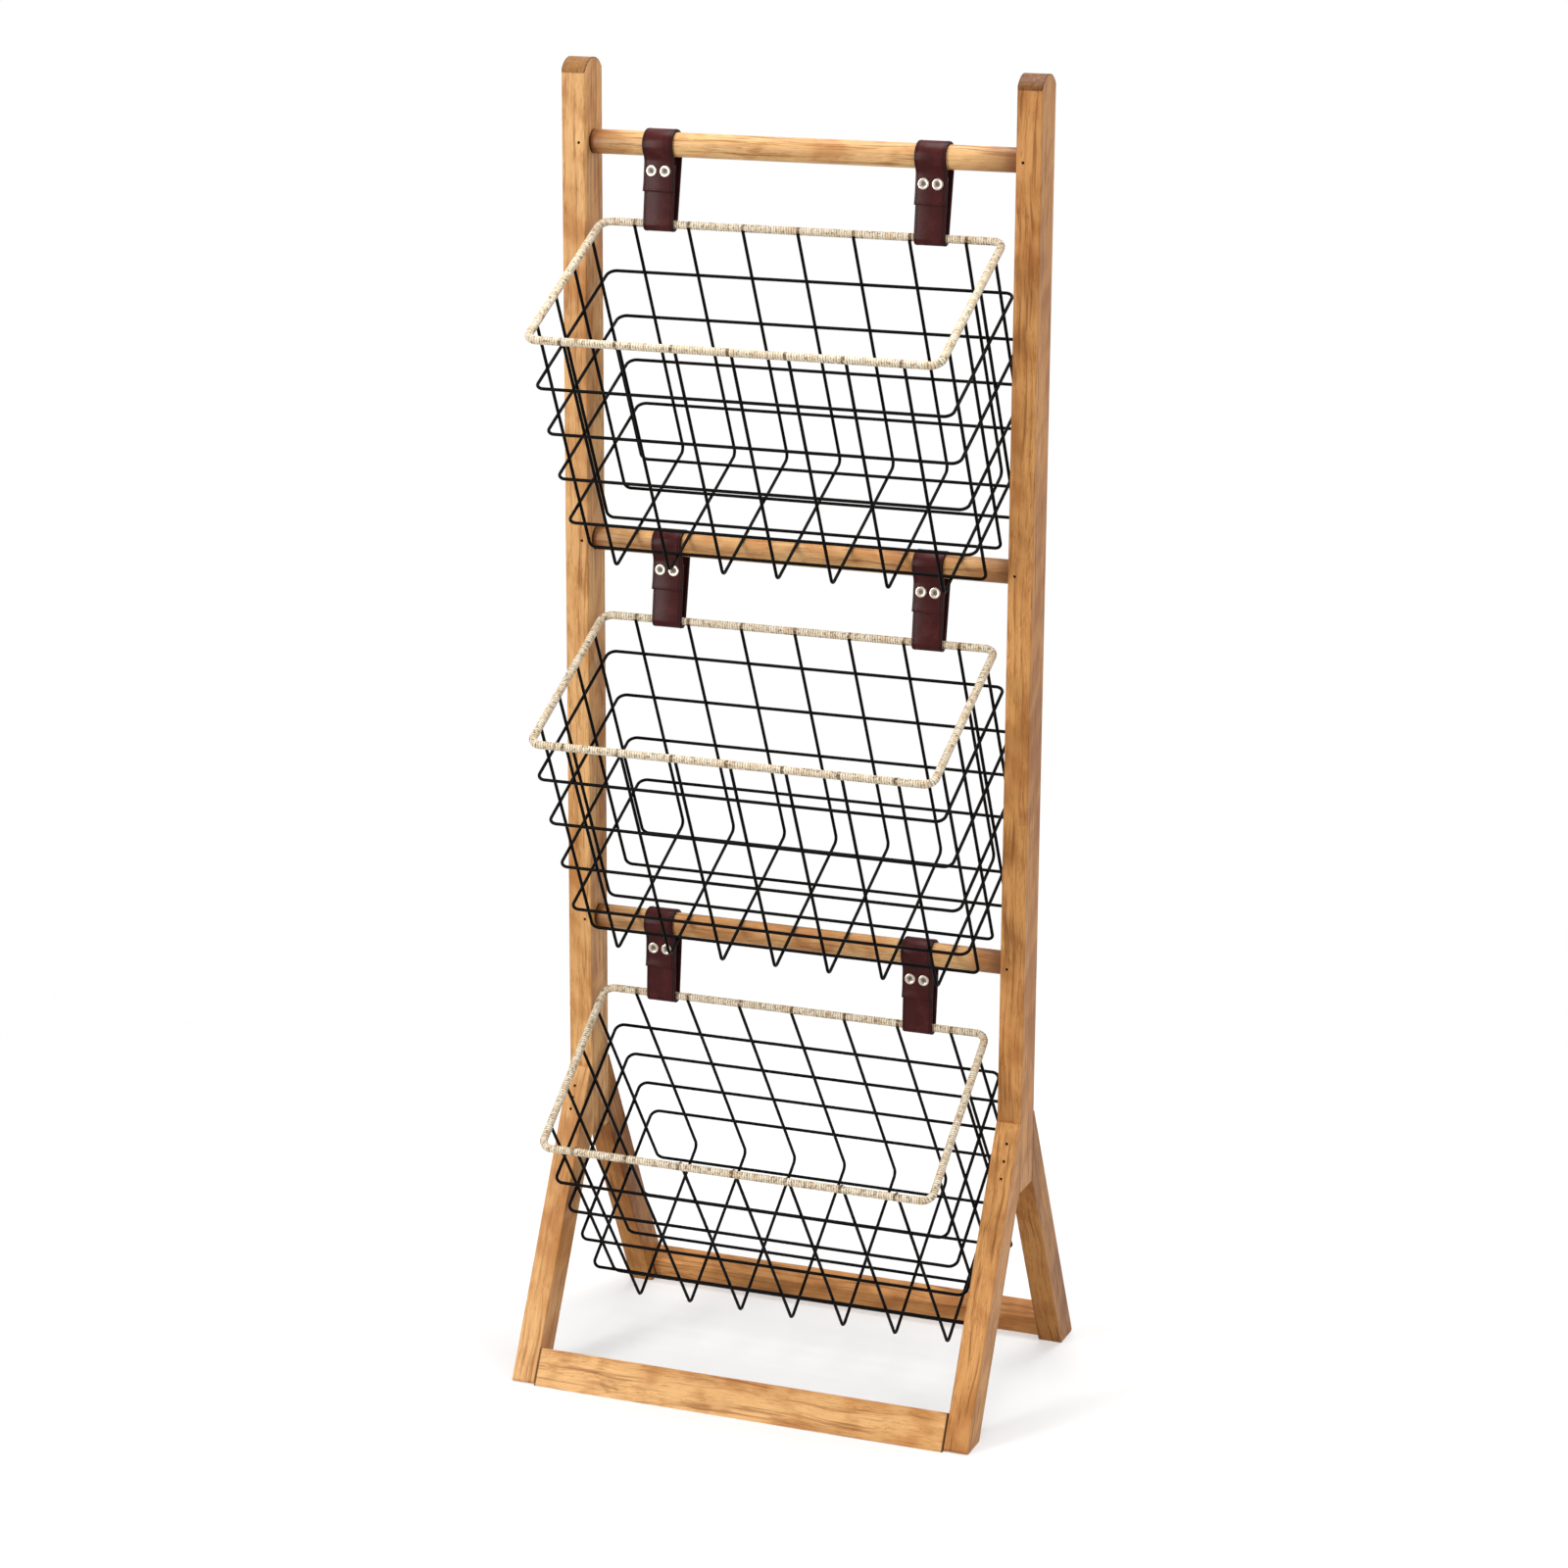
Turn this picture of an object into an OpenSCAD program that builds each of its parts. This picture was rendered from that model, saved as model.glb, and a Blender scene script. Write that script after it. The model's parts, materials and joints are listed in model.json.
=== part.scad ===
// Three-tier kitchen storage rack: a wooden stand with three rungs between its posts, and a
// wire basket hung from each rung by two leather straps that close with press studs.
// Lengths are in millimetres and angles in degrees. +X is the stand's right as seen from the
// front, -Y is the front, +Z is up, and the floor is at z = 0.

/* [Posts] */
// Clear width between the two posts
post_gap = 406; // [390:1:440]
// Width of every post and leg, across the stand
post_w = 23; // [20:0.5:28]
// Depth of the posts, front to back
post_d = 39; // [36:0.5:46]
// Length of post above the axis of the upper rung
post_over = 75; // [50:1:110]
// Rise of the arched post tops
arch_rise = 12; // [8:0.5:17]
// Height of the posts' lower ends above the floor
post_foot_z = 203; // [190:1:215]
// Radius on the long edges of posts and legs
edge_ease = 1.5; // [0.5:0.25:3]

/* [Legs] */
// Angle between the legs and the posts
leg_splay = 27; // [25:0.5:30]
// Depth of the legs, square to their length
leg_d = 33; // [30:0.5:36]
// Flat ledge left where a leg's mitre runs out on the post
leg_ledge = 2.5; // [1:0.25:4]
// Radius on the lower corners of the feet
foot_ease = 3; // [1:0.5:5]

/* [Rails] */
// Height of the rails, along the slope of the legs
rail_h = 36; // [30:0.5:44]
// Thickness of the rails
rail_t = 23; // [16:0.5:25]
// Shadow gap between a rail's end and its leg
rail_gap = 0.5; // [0.25:0.05:0.9]
// Diameter of the dowels that join rails and legs
dowel_d = 6; // [4:0.5:8]
// Length of the dowels
dowel_l = 24; // [16:1:30]

/* [Rungs] */
// Diameter of the rungs
rung_d = 22; // [18:0.5:26]
// Height of the lower rung's axis above the floor
lower_rung_z = 417; // [410:1:460]
// Depth of the blind sockets that hold the rungs
socket_depth = 14; // [8:0.5:17]

/* [Brads] */
// Diameter of the brads
brad_d = 2.6; // [1.5:0.1:2.6]
// Depth of the brads' heads below the wood's surface
brad_sink = 2; // [1:0.25:3]
// Distance of a rung's brad from the post's inner face
brad_inset = 6.4; // [4:0.1:9]
// Length of the brads that pin the rungs
rung_brad_l = 22; // [18:0.5:26]
// Length of the brads that hold the legs
leg_brad_l = 40; // [36:0.5:44]
// Drop from the point of a leg's mitre to its upper brad
leg_brad_drop = 22; // [18:0.5:26]
// Pitch of the three brads in the left-hand legs
leg_brad_pitch_left = 10; // [8:0.5:15]
// Pitch of the three brads in the right-hand legs
leg_brad_pitch_right = 14.5; // [8:0.5:15]
// Distance of the legs' brads from the middle of the wood
leg_brad_side = 1.75; // [1.5:0.25:4]

/* [Straps] */
// Width of the leather straps
strap_w = 29; // [26:0.5:31]
// Thickness of the leather
strap_t = 2.5; // [1.8:0.1:2.9]
// Distance from a rung's axis to the axis of the rim that hangs from it
strap_drop = 71; // [64:0.5:76]
// Distance down the strap's front to the end of the outer flap
flap_l = 42.5; // [38:0.5:46]
// Distance of the inside of the strap's front from the rung's axis, carried up to it
strap_waist = 1.5; // [0.5:0.25:3]
// Radius of the bend that brings the outer flap in below the rung
flap_bend = 12; // [8:0.5:14]
// Distance down the strap's front to the hidden end beneath the flap
tuck_l = 18; // [14:0.5:19]
// Distance down the strap's front to the press studs
stud_l = 24; // [23.5:0.5:27]
// Distance between a strap's two press studs
stud_pitch = 13.2; // [12.5:0.1:14]
// Diameter of the press studs' caps
cap_d = 11; // [9:0.25:12]
// Forward lean of the straps whose baskets rest against the rung below
strap_lean = 4.6; // [3:0.1:6]
// Shift of the left-hand straps from midway between two wires, upper tier first
strap_shift_left = [-2.5, 5.5, 0]; // [-8:0.5:8]
// Shift of the right-hand straps from midway between two wires, upper tier first
strap_shift_right = [-7, -3.5, -6]; // [-8:0.5:8]

/* [Baskets] */
// Gap between each side of a basket and the posts
basket_side_gap = 8.25; // [7:0.25:12]
// Distance between the axes of a basket's front and back rims
rim_depth = 187; // [170:1:195]
// Distance from the plane of the rim to the axes of the bottom wires
basket_h = 251; // [235:1:258]
// Diameter of the basket wire
wire_d = 3; // [2.4:0.1:3.5]
// Diameter of the rod inside the rim
rod_d = 5; // [4:0.25:6]
// Diameter of the cord winding round the rim
wrap_d = 7.5; // [7.5:0.25:10]
// Radius of the rim's corners, at the rod's axis
rim_bend = 10; // [8:0.5:18]
// Radius of the hoops' corners
hoop_bend = 8; // [6:0.5:14]
// Radius of the bends in the other wires
wire_bend = 6; // [5:0.5:12]
// Pitch of the wires that run from back to front
long_pitch = 52.5; // [50:0.5:55]
// Pitch of the wires that run from side to side
cross_pitch = 45; // [38:0.5:48]
// Distance from the rim to the first hoop, upper tier first
hoop_first = [53, 43, 59]; // [40:0.5:60]
// Distance from hoop to hoop, upper tier first
hoop_pitch = [49.5, 53, 48]; // [40:0.5:53]
// Tilt of the upper two baskets, which sets how far apart the rungs are
rest_tilt = 27; // [24:0.5:30]
// Tilt of the lower basket, which hangs free
hang_tilt = 36.5; // [32:0.5:38]
// Shift of each basket along its rung, upper tier first
basket_shift = [-2, -2.5, -6]; // [-6:0.5:6]

/* [Hidden] */

$fn = 64;
wire_facets = 32;

// Tiers and sides, as the modules below number them
UPPER = 0;
MIDDLE = 1;
LOWER = 2;
LEFT = -1;
RIGHT = 1;

// Counts
long_count = 7;
cross_count = 4;
hoop_count = 4;
leg_brad_count = 3;
arc_steps = 8;
loop_steps = 28;

// Clearances and the overrun of cuts
fit_gap = 0.1;
rest_gap = 0.3;
end_gap = 0.5;
over = 1;

wood = [0.80, 0.58, 0.36];
rung_wood = [0.84, 0.63, 0.41];
leather = [0.22, 0.08, 0.08];
nickel = [0.80, 0.79, 0.76];
steel = [0.45, 0.42, 0.40];
black_wire = [0.06, 0.06, 0.06];
cord_colour = [0.82, 0.76, 0.66];

// The distance from rung to rung at which a basket rests against the rung below
rest_reach = basket_h + wire_d / 2 + rest_gap + rung_d / 2;
rung_pitch = strap_drop * cos(strap_lean)
    + (rest_reach - strap_drop * sin(strap_lean) * sin(rest_tilt)) / cos(rest_tilt);

// The stand's side view, in distances outwards from the middle of the posts
mitre_l = leg_d / sin(leg_splay);
apex_z = post_foot_z + mitre_l;
foot_out = post_d / 2 + apex_z * tan(leg_splay);
ledge_z = apex_z - leg_ledge / tan(leg_splay);
foot_reach = foot_out - foot_ease * (1 / tan((90 - leg_splay) / 2) - 1);
leg_mid_x = post_gap / 2 + post_w / 2;
stand_h = lower_rung_z + 2 * rung_pitch + post_over;
arch_r = (pow(post_d / 2, 2) + pow(arch_rise, 2)) / (2 * arch_rise);
rung_l = post_gap + 2 * (socket_depth - end_gap);
rail_l = post_gap - 2 * rail_gap;
up_slope = [-sin(leg_splay), cos(leg_splay)];
into_slope = [-cos(leg_splay), -sin(leg_splay)];
dowel_mid_share = 0.58;
dowel_step_share = 0.2;

// The rim of a basket and the way it hangs
rim_l = post_gap - 2 * basket_side_gap - wrap_d;
// The long wires stand against the inside of the rod, and the cross wires under it
wall_in = (rod_d + wire_d) / 2;
long_top = 0;
cross_top = rod_d / 2;
basket_reach = strap_drop * sin(strap_lean) + rim_depth * cos(rest_tilt) + wrap_d / 2;
// Shift that puts the middle of the whole rack, front to back, at y = 0
stand_y = (max(basket_reach, foot_reach) - foot_reach) / 2;

// The strap's loop, which runs from the rung down to the rim and back
loop_rung_r = rung_d / 2 + rest_gap;
loop_rim_r = wrap_d / 2 + rest_gap;
back_angle = asin((loop_rung_r - loop_rim_r) / strap_drop);
front_angle = asin((strap_waist - loop_rim_r) / strap_drop);
front_out = [-cos(front_angle), -sin(front_angle)];
front_down = [sin(front_angle), -cos(front_angle)];
flap_in = strap_t + rest_gap;

// The press studs
cap_h = 1.7;
cap_edge = 0.5;
cap_dimple_r = 1.9;
cap_dimple_h = 0.8;
cap_barrel_d = 5.2;
cap_bore_d = 3.4;
post_flange_d = 8;
post_flange_h = 0.8;
post_barrel_d = 4.4;
post_tip_d = 3;
post_tip_h = 2;

function tier_z(tier) = lower_rung_z + (LOWER - tier) * rung_pitch;
function tier_lean(tier) = tier == LOWER ? 0 : -strap_lean;
function tier_tilt(tier) = tier == LOWER ? hang_tilt : rest_tilt;
function rim_y(tier) = strap_drop * sin(tier_lean(tier));
function rim_z(tier) = tier_z(tier) - strap_drop * cos(tier_lean(tier));
function strap_x(tier, side) =
    basket_shift[tier] + side * (long_count - 2) / 2 * long_pitch
    + (side == LEFT ? strap_shift_left[tier] : strap_shift_right[tier]);

function unit(v) = v / norm(v);
function polar(r, angle) = [r * cos(angle), r * sin(angle)];
function arc(centre, r, from, to, steps) =
    [for (i = [0:steps]) centre + polar(r, from + (to - from) * i / steps)];
function turn(from, to) = (to - from + 540) % 360 - 180;
// Points of a rounded corner at p, between its neighbours a and b
function corner(a, p, b, r) =
    let (
        to_a = unit(a - p),
        to_b = unit(b - p),
        half = acos(to_a * to_b) / 2,
        centre = p + unit(to_a + to_b) * r / sin(half),
        start = p + to_a * r / tan(half) - centre,
        end = p + to_b * r / tan(half) - centre,
        from = atan2(start[1], start[0])
    )
    arc(centre, r, from, from + turn(from, atan2(end[1], end[0])), arc_steps);

// Placing

module on_stand() {
    translate([0, stand_y, 0])
        children();
}

module on_rung(tier) {
    on_stand()
        translate([0, 0, tier_z(tier)])
            rotate([tier_lean(tier), 0, 0])
                children();
}

// In a basket x runs along the rim, -y from its back to its front, and -z down its walls
module on_rim(tier) {
    on_stand()
        translate([basket_shift[tier], rim_y(tier), rim_z(tier)])
            rotate([tier_tilt(tier), 0, 0])
                children();
}

// A side view, drawn outwards and upwards, made as wide as the wood and turned to face -y
module side_slab(width) {
    rotate([90, 0, -90])
        linear_extrude(height = width, center = true)
            children();
}

// Wood

module eased_rectangle(width, depth, r) {
    x = width / 2;
    y = depth / 2;
    polygon(concat(
        corner([x, -y], [x, y], [-x, y], r),
        corner([x, y], [-x, y], [-x, -y], r),
        corner([-x, y], [-x, -y], [x, -y], r),
        corner([-x, -y], [x, -y], [x, y], r)
    ));
}

module post_blank() {
    intersection() {
        linear_extrude(height = stand_h)
            eased_rectangle(post_w, post_d, edge_ease);
        union() {
            translate([-post_w, -post_d, post_foot_z])
                cube([2 * post_w, 2 * post_d, stand_h - arch_rise - post_foot_z]);
            intersection() {
                translate([0, 0, stand_h - arch_r])
                    rotate([0, 90, 0])
                        cylinder(r = arch_r, h = 2 * post_w, center = true);
                translate([-post_w, -post_d, stand_h - arch_rise])
                    cube([2 * post_w, 2 * post_d, arch_rise + over]);
            }
        }
    }
}

module rung_socket(tier) {
    translate([0, 0, tier_z(tier)])
        rotate([0, 90, 0])
            cylinder(d = rung_d + 2 * fit_gap, h = post_gap + 2 * socket_depth, center = true);
}

// A hole for a brad, or the brad itself where gap is 0, driven backwards from a point
module brad(length, gap) {
    rotate([-90, 0, 0])
        translate([0, 0, gap > 0 ? -brad_sink - over : 0])
            cylinder(
                d = brad_d + 2 * gap,
                h = length + (gap > 0 ? brad_sink + over + gap : 0)
            );
}

module rung_brad(side, tier, gap) {
    translate([side * (post_gap / 2 + brad_inset), brad_sink - post_d / 2, tier_z(tier)])
        brad(rung_brad_l, gap);
}

function leg_brad_z(side, i) =
    apex_z - leg_brad_drop - i * (side == LEFT ? leg_brad_pitch_left : leg_brad_pitch_right);

// The brads of a front leg, or of a rear leg once mirrored, which then miss the front ones
module leg_brad_set(side, shift, gap) {
    for (i = [0:leg_brad_count - 1]) {
        z = leg_brad_z(side, i);
        out = post_d / 2 + (apex_z - z) * tan(leg_splay);
        translate([side * (leg_mid_x + shift), brad_sink - out, z])
            brad(leg_brad_l, gap);
    }
}

module post(side) {
    color(wood)
        on_stand()
            difference() {
                translate([side * leg_mid_x, 0, 0])
                    post_blank();
                for (tier = [UPPER, MIDDLE, LOWER]) {
                    rung_socket(tier);
                    rung_brad(side, tier, fit_gap);
                }
                leg_brad_set(side, leg_brad_side, fit_gap);
                mirror([0, 1, 0])
                    leg_brad_set(side, -leg_brad_side, fit_gap);
            }
}

module leg_outline() {
    inner_top = [post_d / 2, post_foot_z];
    outer_top = [post_d / 2 + leg_ledge, ledge_z];
    outer_foot = [foot_out, 0];
    inner_foot = [foot_out - leg_d / cos(leg_splay), 0];
    polygon(concat(
        [inner_top, [post_d / 2, ledge_z], outer_top],
        corner(outer_top, outer_foot, inner_foot, foot_ease),
        corner(outer_foot, inner_foot, inner_top, foot_ease)
    ));
}

// The two places, outwards and up, where dowels join a rail to a leg
function dowel_at(i) =
    [foot_out, 0] + up_slope * rail_h * (dowel_mid_share + (i - 0.5) * 2 * dowel_step_share)
    + into_slope * rail_t / 2;

module dowels(side, gap) {
    for (i = [0, 1])
        translate([side * post_gap / 2, -dowel_at(i)[0], dowel_at(i)[1]])
            rotate([0, 90, 0])
                cylinder(d = dowel_d + 2 * gap, h = dowel_l + 2 * gap, center = true);
}

module front_leg(side, brad_shift) {
    bar_l = apex_z / cos(leg_splay) + leg_d;
    difference() {
        translate([side * leg_mid_x, 0, 0])
            intersection() {
                translate([0, -foot_out, 0])
                    rotate([-leg_splay, 0, 0])
                        translate([0, leg_d / 2, -leg_d])
                            linear_extrude(height = bar_l + leg_d)
                                eased_rectangle(post_w, leg_d, edge_ease);
                side_slab(2 * post_w)
                    leg_outline();
            }
        leg_brad_set(side, brad_shift, fit_gap);
        dowels(side, fit_gap);
    }
}

module rear_leg(side) {
    mirror([0, 1, 0])
        front_leg(side, -leg_brad_side);
}

// A rail's section lies against the outer face of the legs and is cut flat at the floor
module rail_outline() {
    outer_foot = [foot_out, 0];
    outer_top = outer_foot + up_slope * rail_h;
    inner_top = outer_top + into_slope * rail_t;
    inner_foot = [foot_out - rail_t / cos(leg_splay), 0];
    polygon(concat(
        [inner_foot, outer_foot],
        corner(outer_foot, outer_top, inner_top, edge_ease),
        corner(outer_top, inner_top, inner_foot, edge_ease)
    ));
}

module rail() {
    difference() {
        side_slab(rail_l)
            rail_outline();
        dowels(LEFT, fit_gap);
        dowels(RIGHT, fit_gap);
    }
}

module rail_dowels() {
    dowels(LEFT, 0);
    dowels(RIGHT, 0);
}

module rung(tier) {
    color(rung_wood)
        on_stand()
            difference() {
                translate([0, 0, tier_z(tier)])
                    rotate([0, 90, 0])
                        cylinder(d = rung_d, h = rung_l, center = true);
                rung_brad(LEFT, tier, fit_gap);
                rung_brad(RIGHT, tier, fit_gap);
            }
}

module rung_brads() {
    color(steel)
        on_stand()
            for (tier = [UPPER, MIDDLE, LOWER], side = [LEFT, RIGHT])
                rung_brad(side, tier, 0);
}

module front_leg_brads() {
    color(steel)
        on_stand()
            for (side = [LEFT, RIGHT])
                leg_brad_set(side, leg_brad_side, 0);
}

module rear_leg_brads() {
    color(steel)
        on_stand()
            mirror([0, 1, 0])
                for (side = [LEFT, RIGHT])
                    leg_brad_set(side, -leg_brad_side, 0);
}

// Straps

// One face of the band: from its hidden end, under the rim, up the back, over the rung, in
// again below it and down the flap. Raise is the distance of that face from the one that
// meets rung and rim.
function band_face(raise) =
    let (
        bend_out = strap_waist + flap_in + strap_t + flap_bend,
        bend_down = sqrt(pow(loop_rung_r + strap_t + flap_bend, 2) - pow(bend_out, 2)),
        bend_at = front_out * bend_out + front_down * bend_down,
        leave = (atan2(bend_at[1], bend_at[0]) + 360) % 360
    )
    concat(
        [front_out * (strap_waist + raise) + front_down * tuck_l],
        arc(
            [0, -strap_drop], loop_rim_r + raise, 180 + front_angle, 360 - back_angle,
            loop_steps / 2
        ),
        arc([0, 0], loop_rung_r + raise, -back_angle, leave, loop_steps),
        arc(bend_at, flap_bend + strap_t - raise, leave - 180, front_angle, arc_steps),
        [front_out * (strap_waist + flap_in + raise) + front_down * flap_l]
    );

function reversed(list) = [for (i = [len(list) - 1:-1:0]) list[i]];

module on_stud(tier, side, i) {
    place = front_out * strap_waist + front_down * stud_l;
    on_rung(tier)
        translate([strap_x(tier, side) + (i - 0.5) * stud_pitch, place[0], place[1]])
            rotate([90 + front_angle, 0, 0])
                children();
}

module strap(tier, side) {
    color(leather)
        difference() {
            on_rung(tier)
                translate([strap_x(tier, side), 0, 0])
                    rotate([90, 0, 90])
                        linear_extrude(height = strap_w, center = true)
                            polygon(concat(band_face(0), reversed(band_face(strap_t))));
            for (i = [0, 1])
                on_stud(tier, side, i) {
                    translate([0, 0, -over])
                        cylinder(d = post_barrel_d + 2 * fit_gap, h = over + strap_t + fit_gap);
                    translate([0, 0, strap_t + fit_gap])
                        cylinder(d = cap_barrel_d + 2 * fit_gap, h = flap_in + over);
                }
        }
}

// A cap's face stands on the flap, with its barrel through the leather
module stud_cap() {
    ring_r = (cap_d / 2 - cap_dimple_r) / 2;
    barrel_l = strap_t;
    translate([0, 0, flap_in + strap_t])
        rotate_extrude()
            polygon(concat(
                [
                    [0, cap_dimple_h], [0, post_tip_h - flap_in + fit_gap],
                    [cap_bore_d / 2, post_tip_h - flap_in + fit_gap],
                    [cap_bore_d / 2, -barrel_l], [cap_barrel_d / 2, -barrel_l],
                    [cap_barrel_d / 2, 0], [cap_d / 2, 0]
                ],
                [for (i = [0:arc_steps]) [
                    cap_dimple_r + ring_r + ring_r * cos(180 * i / arc_steps),
                    max(cap_edge, cap_dimple_h * i / arc_steps)
                        + (cap_h - cap_dimple_h) * sin(180 * i / arc_steps)
                ]]
            ));
}

// A post's flange bears on the inside of the band and its tip snaps into the cap
module stud_post() {
    translate([0, 0, -post_flange_h])
        cylinder(d = post_flange_d, h = post_flange_h);
    cylinder(d = post_barrel_d, h = strap_t);
    translate([0, 0, strap_t])
        cylinder(d = post_tip_d, h = post_tip_h);
}

module stud_caps(tier) {
    color(nickel)
        for (side = [LEFT, RIGHT], i = [0, 1])
            on_stud(tier, side, i)
                stud_cap();
}

module stud_posts(tier) {
    color(nickel)
        for (side = [LEFT, RIGHT], i = [0, 1])
            on_stud(tier, side, i)
                stud_post();
}

// Wire

// A straight piece of wire in the xy plane
module wire_run(a, b, d) {
    translate([a[0], a[1], 0])
        rotate([0, 0, atan2(b[1] - a[1], b[0] - a[0])])
            rotate([0, 90, 0])
                cylinder(d = d, h = norm(b - a), $fn = wire_facets);
}

// A bend of radius r that starts at a heading and turns left through an angle
module wire_turn(centre, r, from, angle, d) {
    translate([centre[0], centre[1], 0])
        rotate([0, 0, from])
            rotate_extrude(angle = angle, $fn = wire_facets)
                translate([r, 0])
                    circle(d = d);
}

// A closed rounded rectangle of wire round the origin, in the xy plane
module wire_ring(length, width, r, d) {
    x = length / 2;
    y = width / 2;
    union() {
        for (s = [-1, 1]) {
            wire_run([-x + r, s * y], [x - r, s * y], d);
            wire_run([s * x, -y + r], [s * x, y - r], d);
        }
        wire_turn([x - r, y - r], r, 0, 90, d);
        wire_turn([-x + r, y - r], r, 90, 90, d);
        wire_turn([-x + r, -y + r], r, 180, 90, d);
        wire_turn([x - r, -y + r], r, 270, 90, d);
    }
}

// A U of wire, whose ends are at y = top and whose bottom is at y = drop
module wire_u(span, top, drop) {
    r = wire_bend;
    union() {
        wire_run([0, top], [0, drop - r], wire_d);
        wire_turn([r, drop - r], r, 90, 90, wire_d);
        wire_run([r, drop], [span - r, drop], wire_d);
        wire_turn([span - r, drop - r], r, 0, 90, wire_d);
        wire_run([span, drop - r], [span, top], wire_d);
    }
}

function long_x(i) = (i - (long_count - 1) / 2) * long_pitch;
function cross_y(i) = -rim_depth / 2 + (i - (cross_count - 1) / 2) * cross_pitch;
function hoop_drop(tier, i) = hoop_first[tier] + i * hoop_pitch[tier];

module rim_path(d) {
    translate([0, -rim_depth / 2, 0])
        wire_ring(rim_l, rim_depth, rim_bend, d);
}

module rim_rod(tier) {
    color(black_wire)
        on_rim(tier)
            rim_path(rod_d);
}

// The winding leaves a hole or a notch for each wire that reaches the rod
module rim_wrap(tier) {
    hole_d = wire_d + 2 * fit_gap;
    color(cord_colour)
        on_rim(tier)
            difference() {
                rim_path(wrap_d);
                rim_path(rod_d + 2 * fit_gap);
                for (i = [0:long_count - 1], y = [-wall_in, wall_in - rim_depth])
                    translate([long_x(i), y, -wrap_d])
                        cylinder(d = hole_d, h = wrap_d - long_top + fit_gap);
                for (i = [0:cross_count - 1], s = [-1, 1])
                    translate([s * rim_l / 2, cross_y(i), -wrap_d])
                        cylinder(d = hole_d, h = wrap_d - cross_top + fit_gap);
            }
}

module hoops(tier) {
    color(black_wire)
        on_rim(tier)
            for (i = [0:hoop_count - 1])
                translate([0, -rim_depth / 2, -hoop_drop(tier, i)])
                    wire_ring(
                        rim_l + 2 * wire_d, rim_depth - 2 * wall_in + 2 * wire_d,
                        hoop_bend, wire_d
                    );
}

module long_wires(tier) {
    color(black_wire)
        on_rim(tier)
            for (i = [0:long_count - 1])
                translate([long_x(i), -wall_in, 0])
                    rotate([-90, 0, -90])
                        wire_u(rim_depth - 2 * wall_in, long_top, basket_h);
}

module cross_wires(tier) {
    color(black_wire)
        on_rim(tier)
            for (i = [0:cross_count - 1])
                translate([-rim_l / 2, cross_y(i), 0])
                    rotate([-90, 0, 0])
                        wire_u(rim_l, cross_top, basket_h - wire_d);
}

module placed_leg(side, rear) {
    color(wood)
        on_stand()
            if (rear)
                rear_leg(side);
            else
                front_leg(side, leg_brad_side);
}

module placed_rail(rear) {
    color(wood)
        on_stand()
            mirror([0, rear ? 1 : 0, 0])
                rail();
}

module placed_dowels(rear) {
    color(rung_wood)
        on_stand()
            mirror([0, rear ? 1 : 0, 0])
                rail_dowels();
}

post(LEFT);  // left_post
post(RIGHT);  // right_post
placed_leg(LEFT, false);  // front_left_leg
placed_leg(RIGHT, false);  // front_right_leg
placed_leg(LEFT, true);  // rear_left_leg
placed_leg(RIGHT, true);  // rear_right_leg
placed_rail(false);  // front_rail
placed_rail(true);  // rear_rail
placed_dowels(false);  // front_rail_dowels
placed_dowels(true);  // rear_rail_dowels
rung(UPPER);  // upper_rung
rung(MIDDLE);  // middle_rung
rung(LOWER);  // lower_rung
rung_brads();
front_leg_brads();
rear_leg_brads();
strap(UPPER, LEFT);  // upper_left_strap
strap(UPPER, RIGHT);  // upper_right_strap
stud_caps(UPPER);  // upper_stud_caps
stud_posts(UPPER);  // upper_stud_posts
rim_rod(UPPER);  // upper_rim_rod
rim_wrap(UPPER);  // upper_rim_wrap
hoops(UPPER);  // upper_hoops
long_wires(UPPER);  // upper_long_wires
cross_wires(UPPER);  // upper_cross_wires
strap(MIDDLE, LEFT);  // middle_left_strap
strap(MIDDLE, RIGHT);  // middle_right_strap
stud_caps(MIDDLE);  // middle_stud_caps
stud_posts(MIDDLE);  // middle_stud_posts
rim_rod(MIDDLE);  // middle_rim_rod
rim_wrap(MIDDLE);  // middle_rim_wrap
hoops(MIDDLE);  // middle_hoops
long_wires(MIDDLE);  // middle_long_wires
cross_wires(MIDDLE);  // middle_cross_wires
strap(LOWER, LEFT);  // lower_left_strap
strap(LOWER, RIGHT);  // lower_right_strap
stud_caps(LOWER);  // lower_stud_caps
stud_posts(LOWER);  // lower_stud_posts
rim_rod(LOWER);  // lower_rim_rod
rim_wrap(LOWER);  // lower_rim_wrap
hoops(LOWER);  // lower_hoops
long_wires(LOWER);  // lower_long_wires
cross_wires(LOWER);  // lower_cross_wires
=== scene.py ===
"""Looks of a three-tier kitchen storage rack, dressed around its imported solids.

The wooden stand, the basket wires and the press studs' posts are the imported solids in
fuller finishes. The leather straps, the press-stud caps and the cord wound round the basket
rims are modelled here and replace the plain solids, and the straps' stitching is added.
Lengths are in metres and angles in radians, +X is the rack's right as seen from the front,
-Y is its front and +Z is up.
"""

import json
import logging
import math
from dataclasses import dataclass, field, replace
from enum import Enum
from typing import Any, Callable

import bmesh
import bpy
from mathutils import Euler, Matrix, Vector, noise


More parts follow.
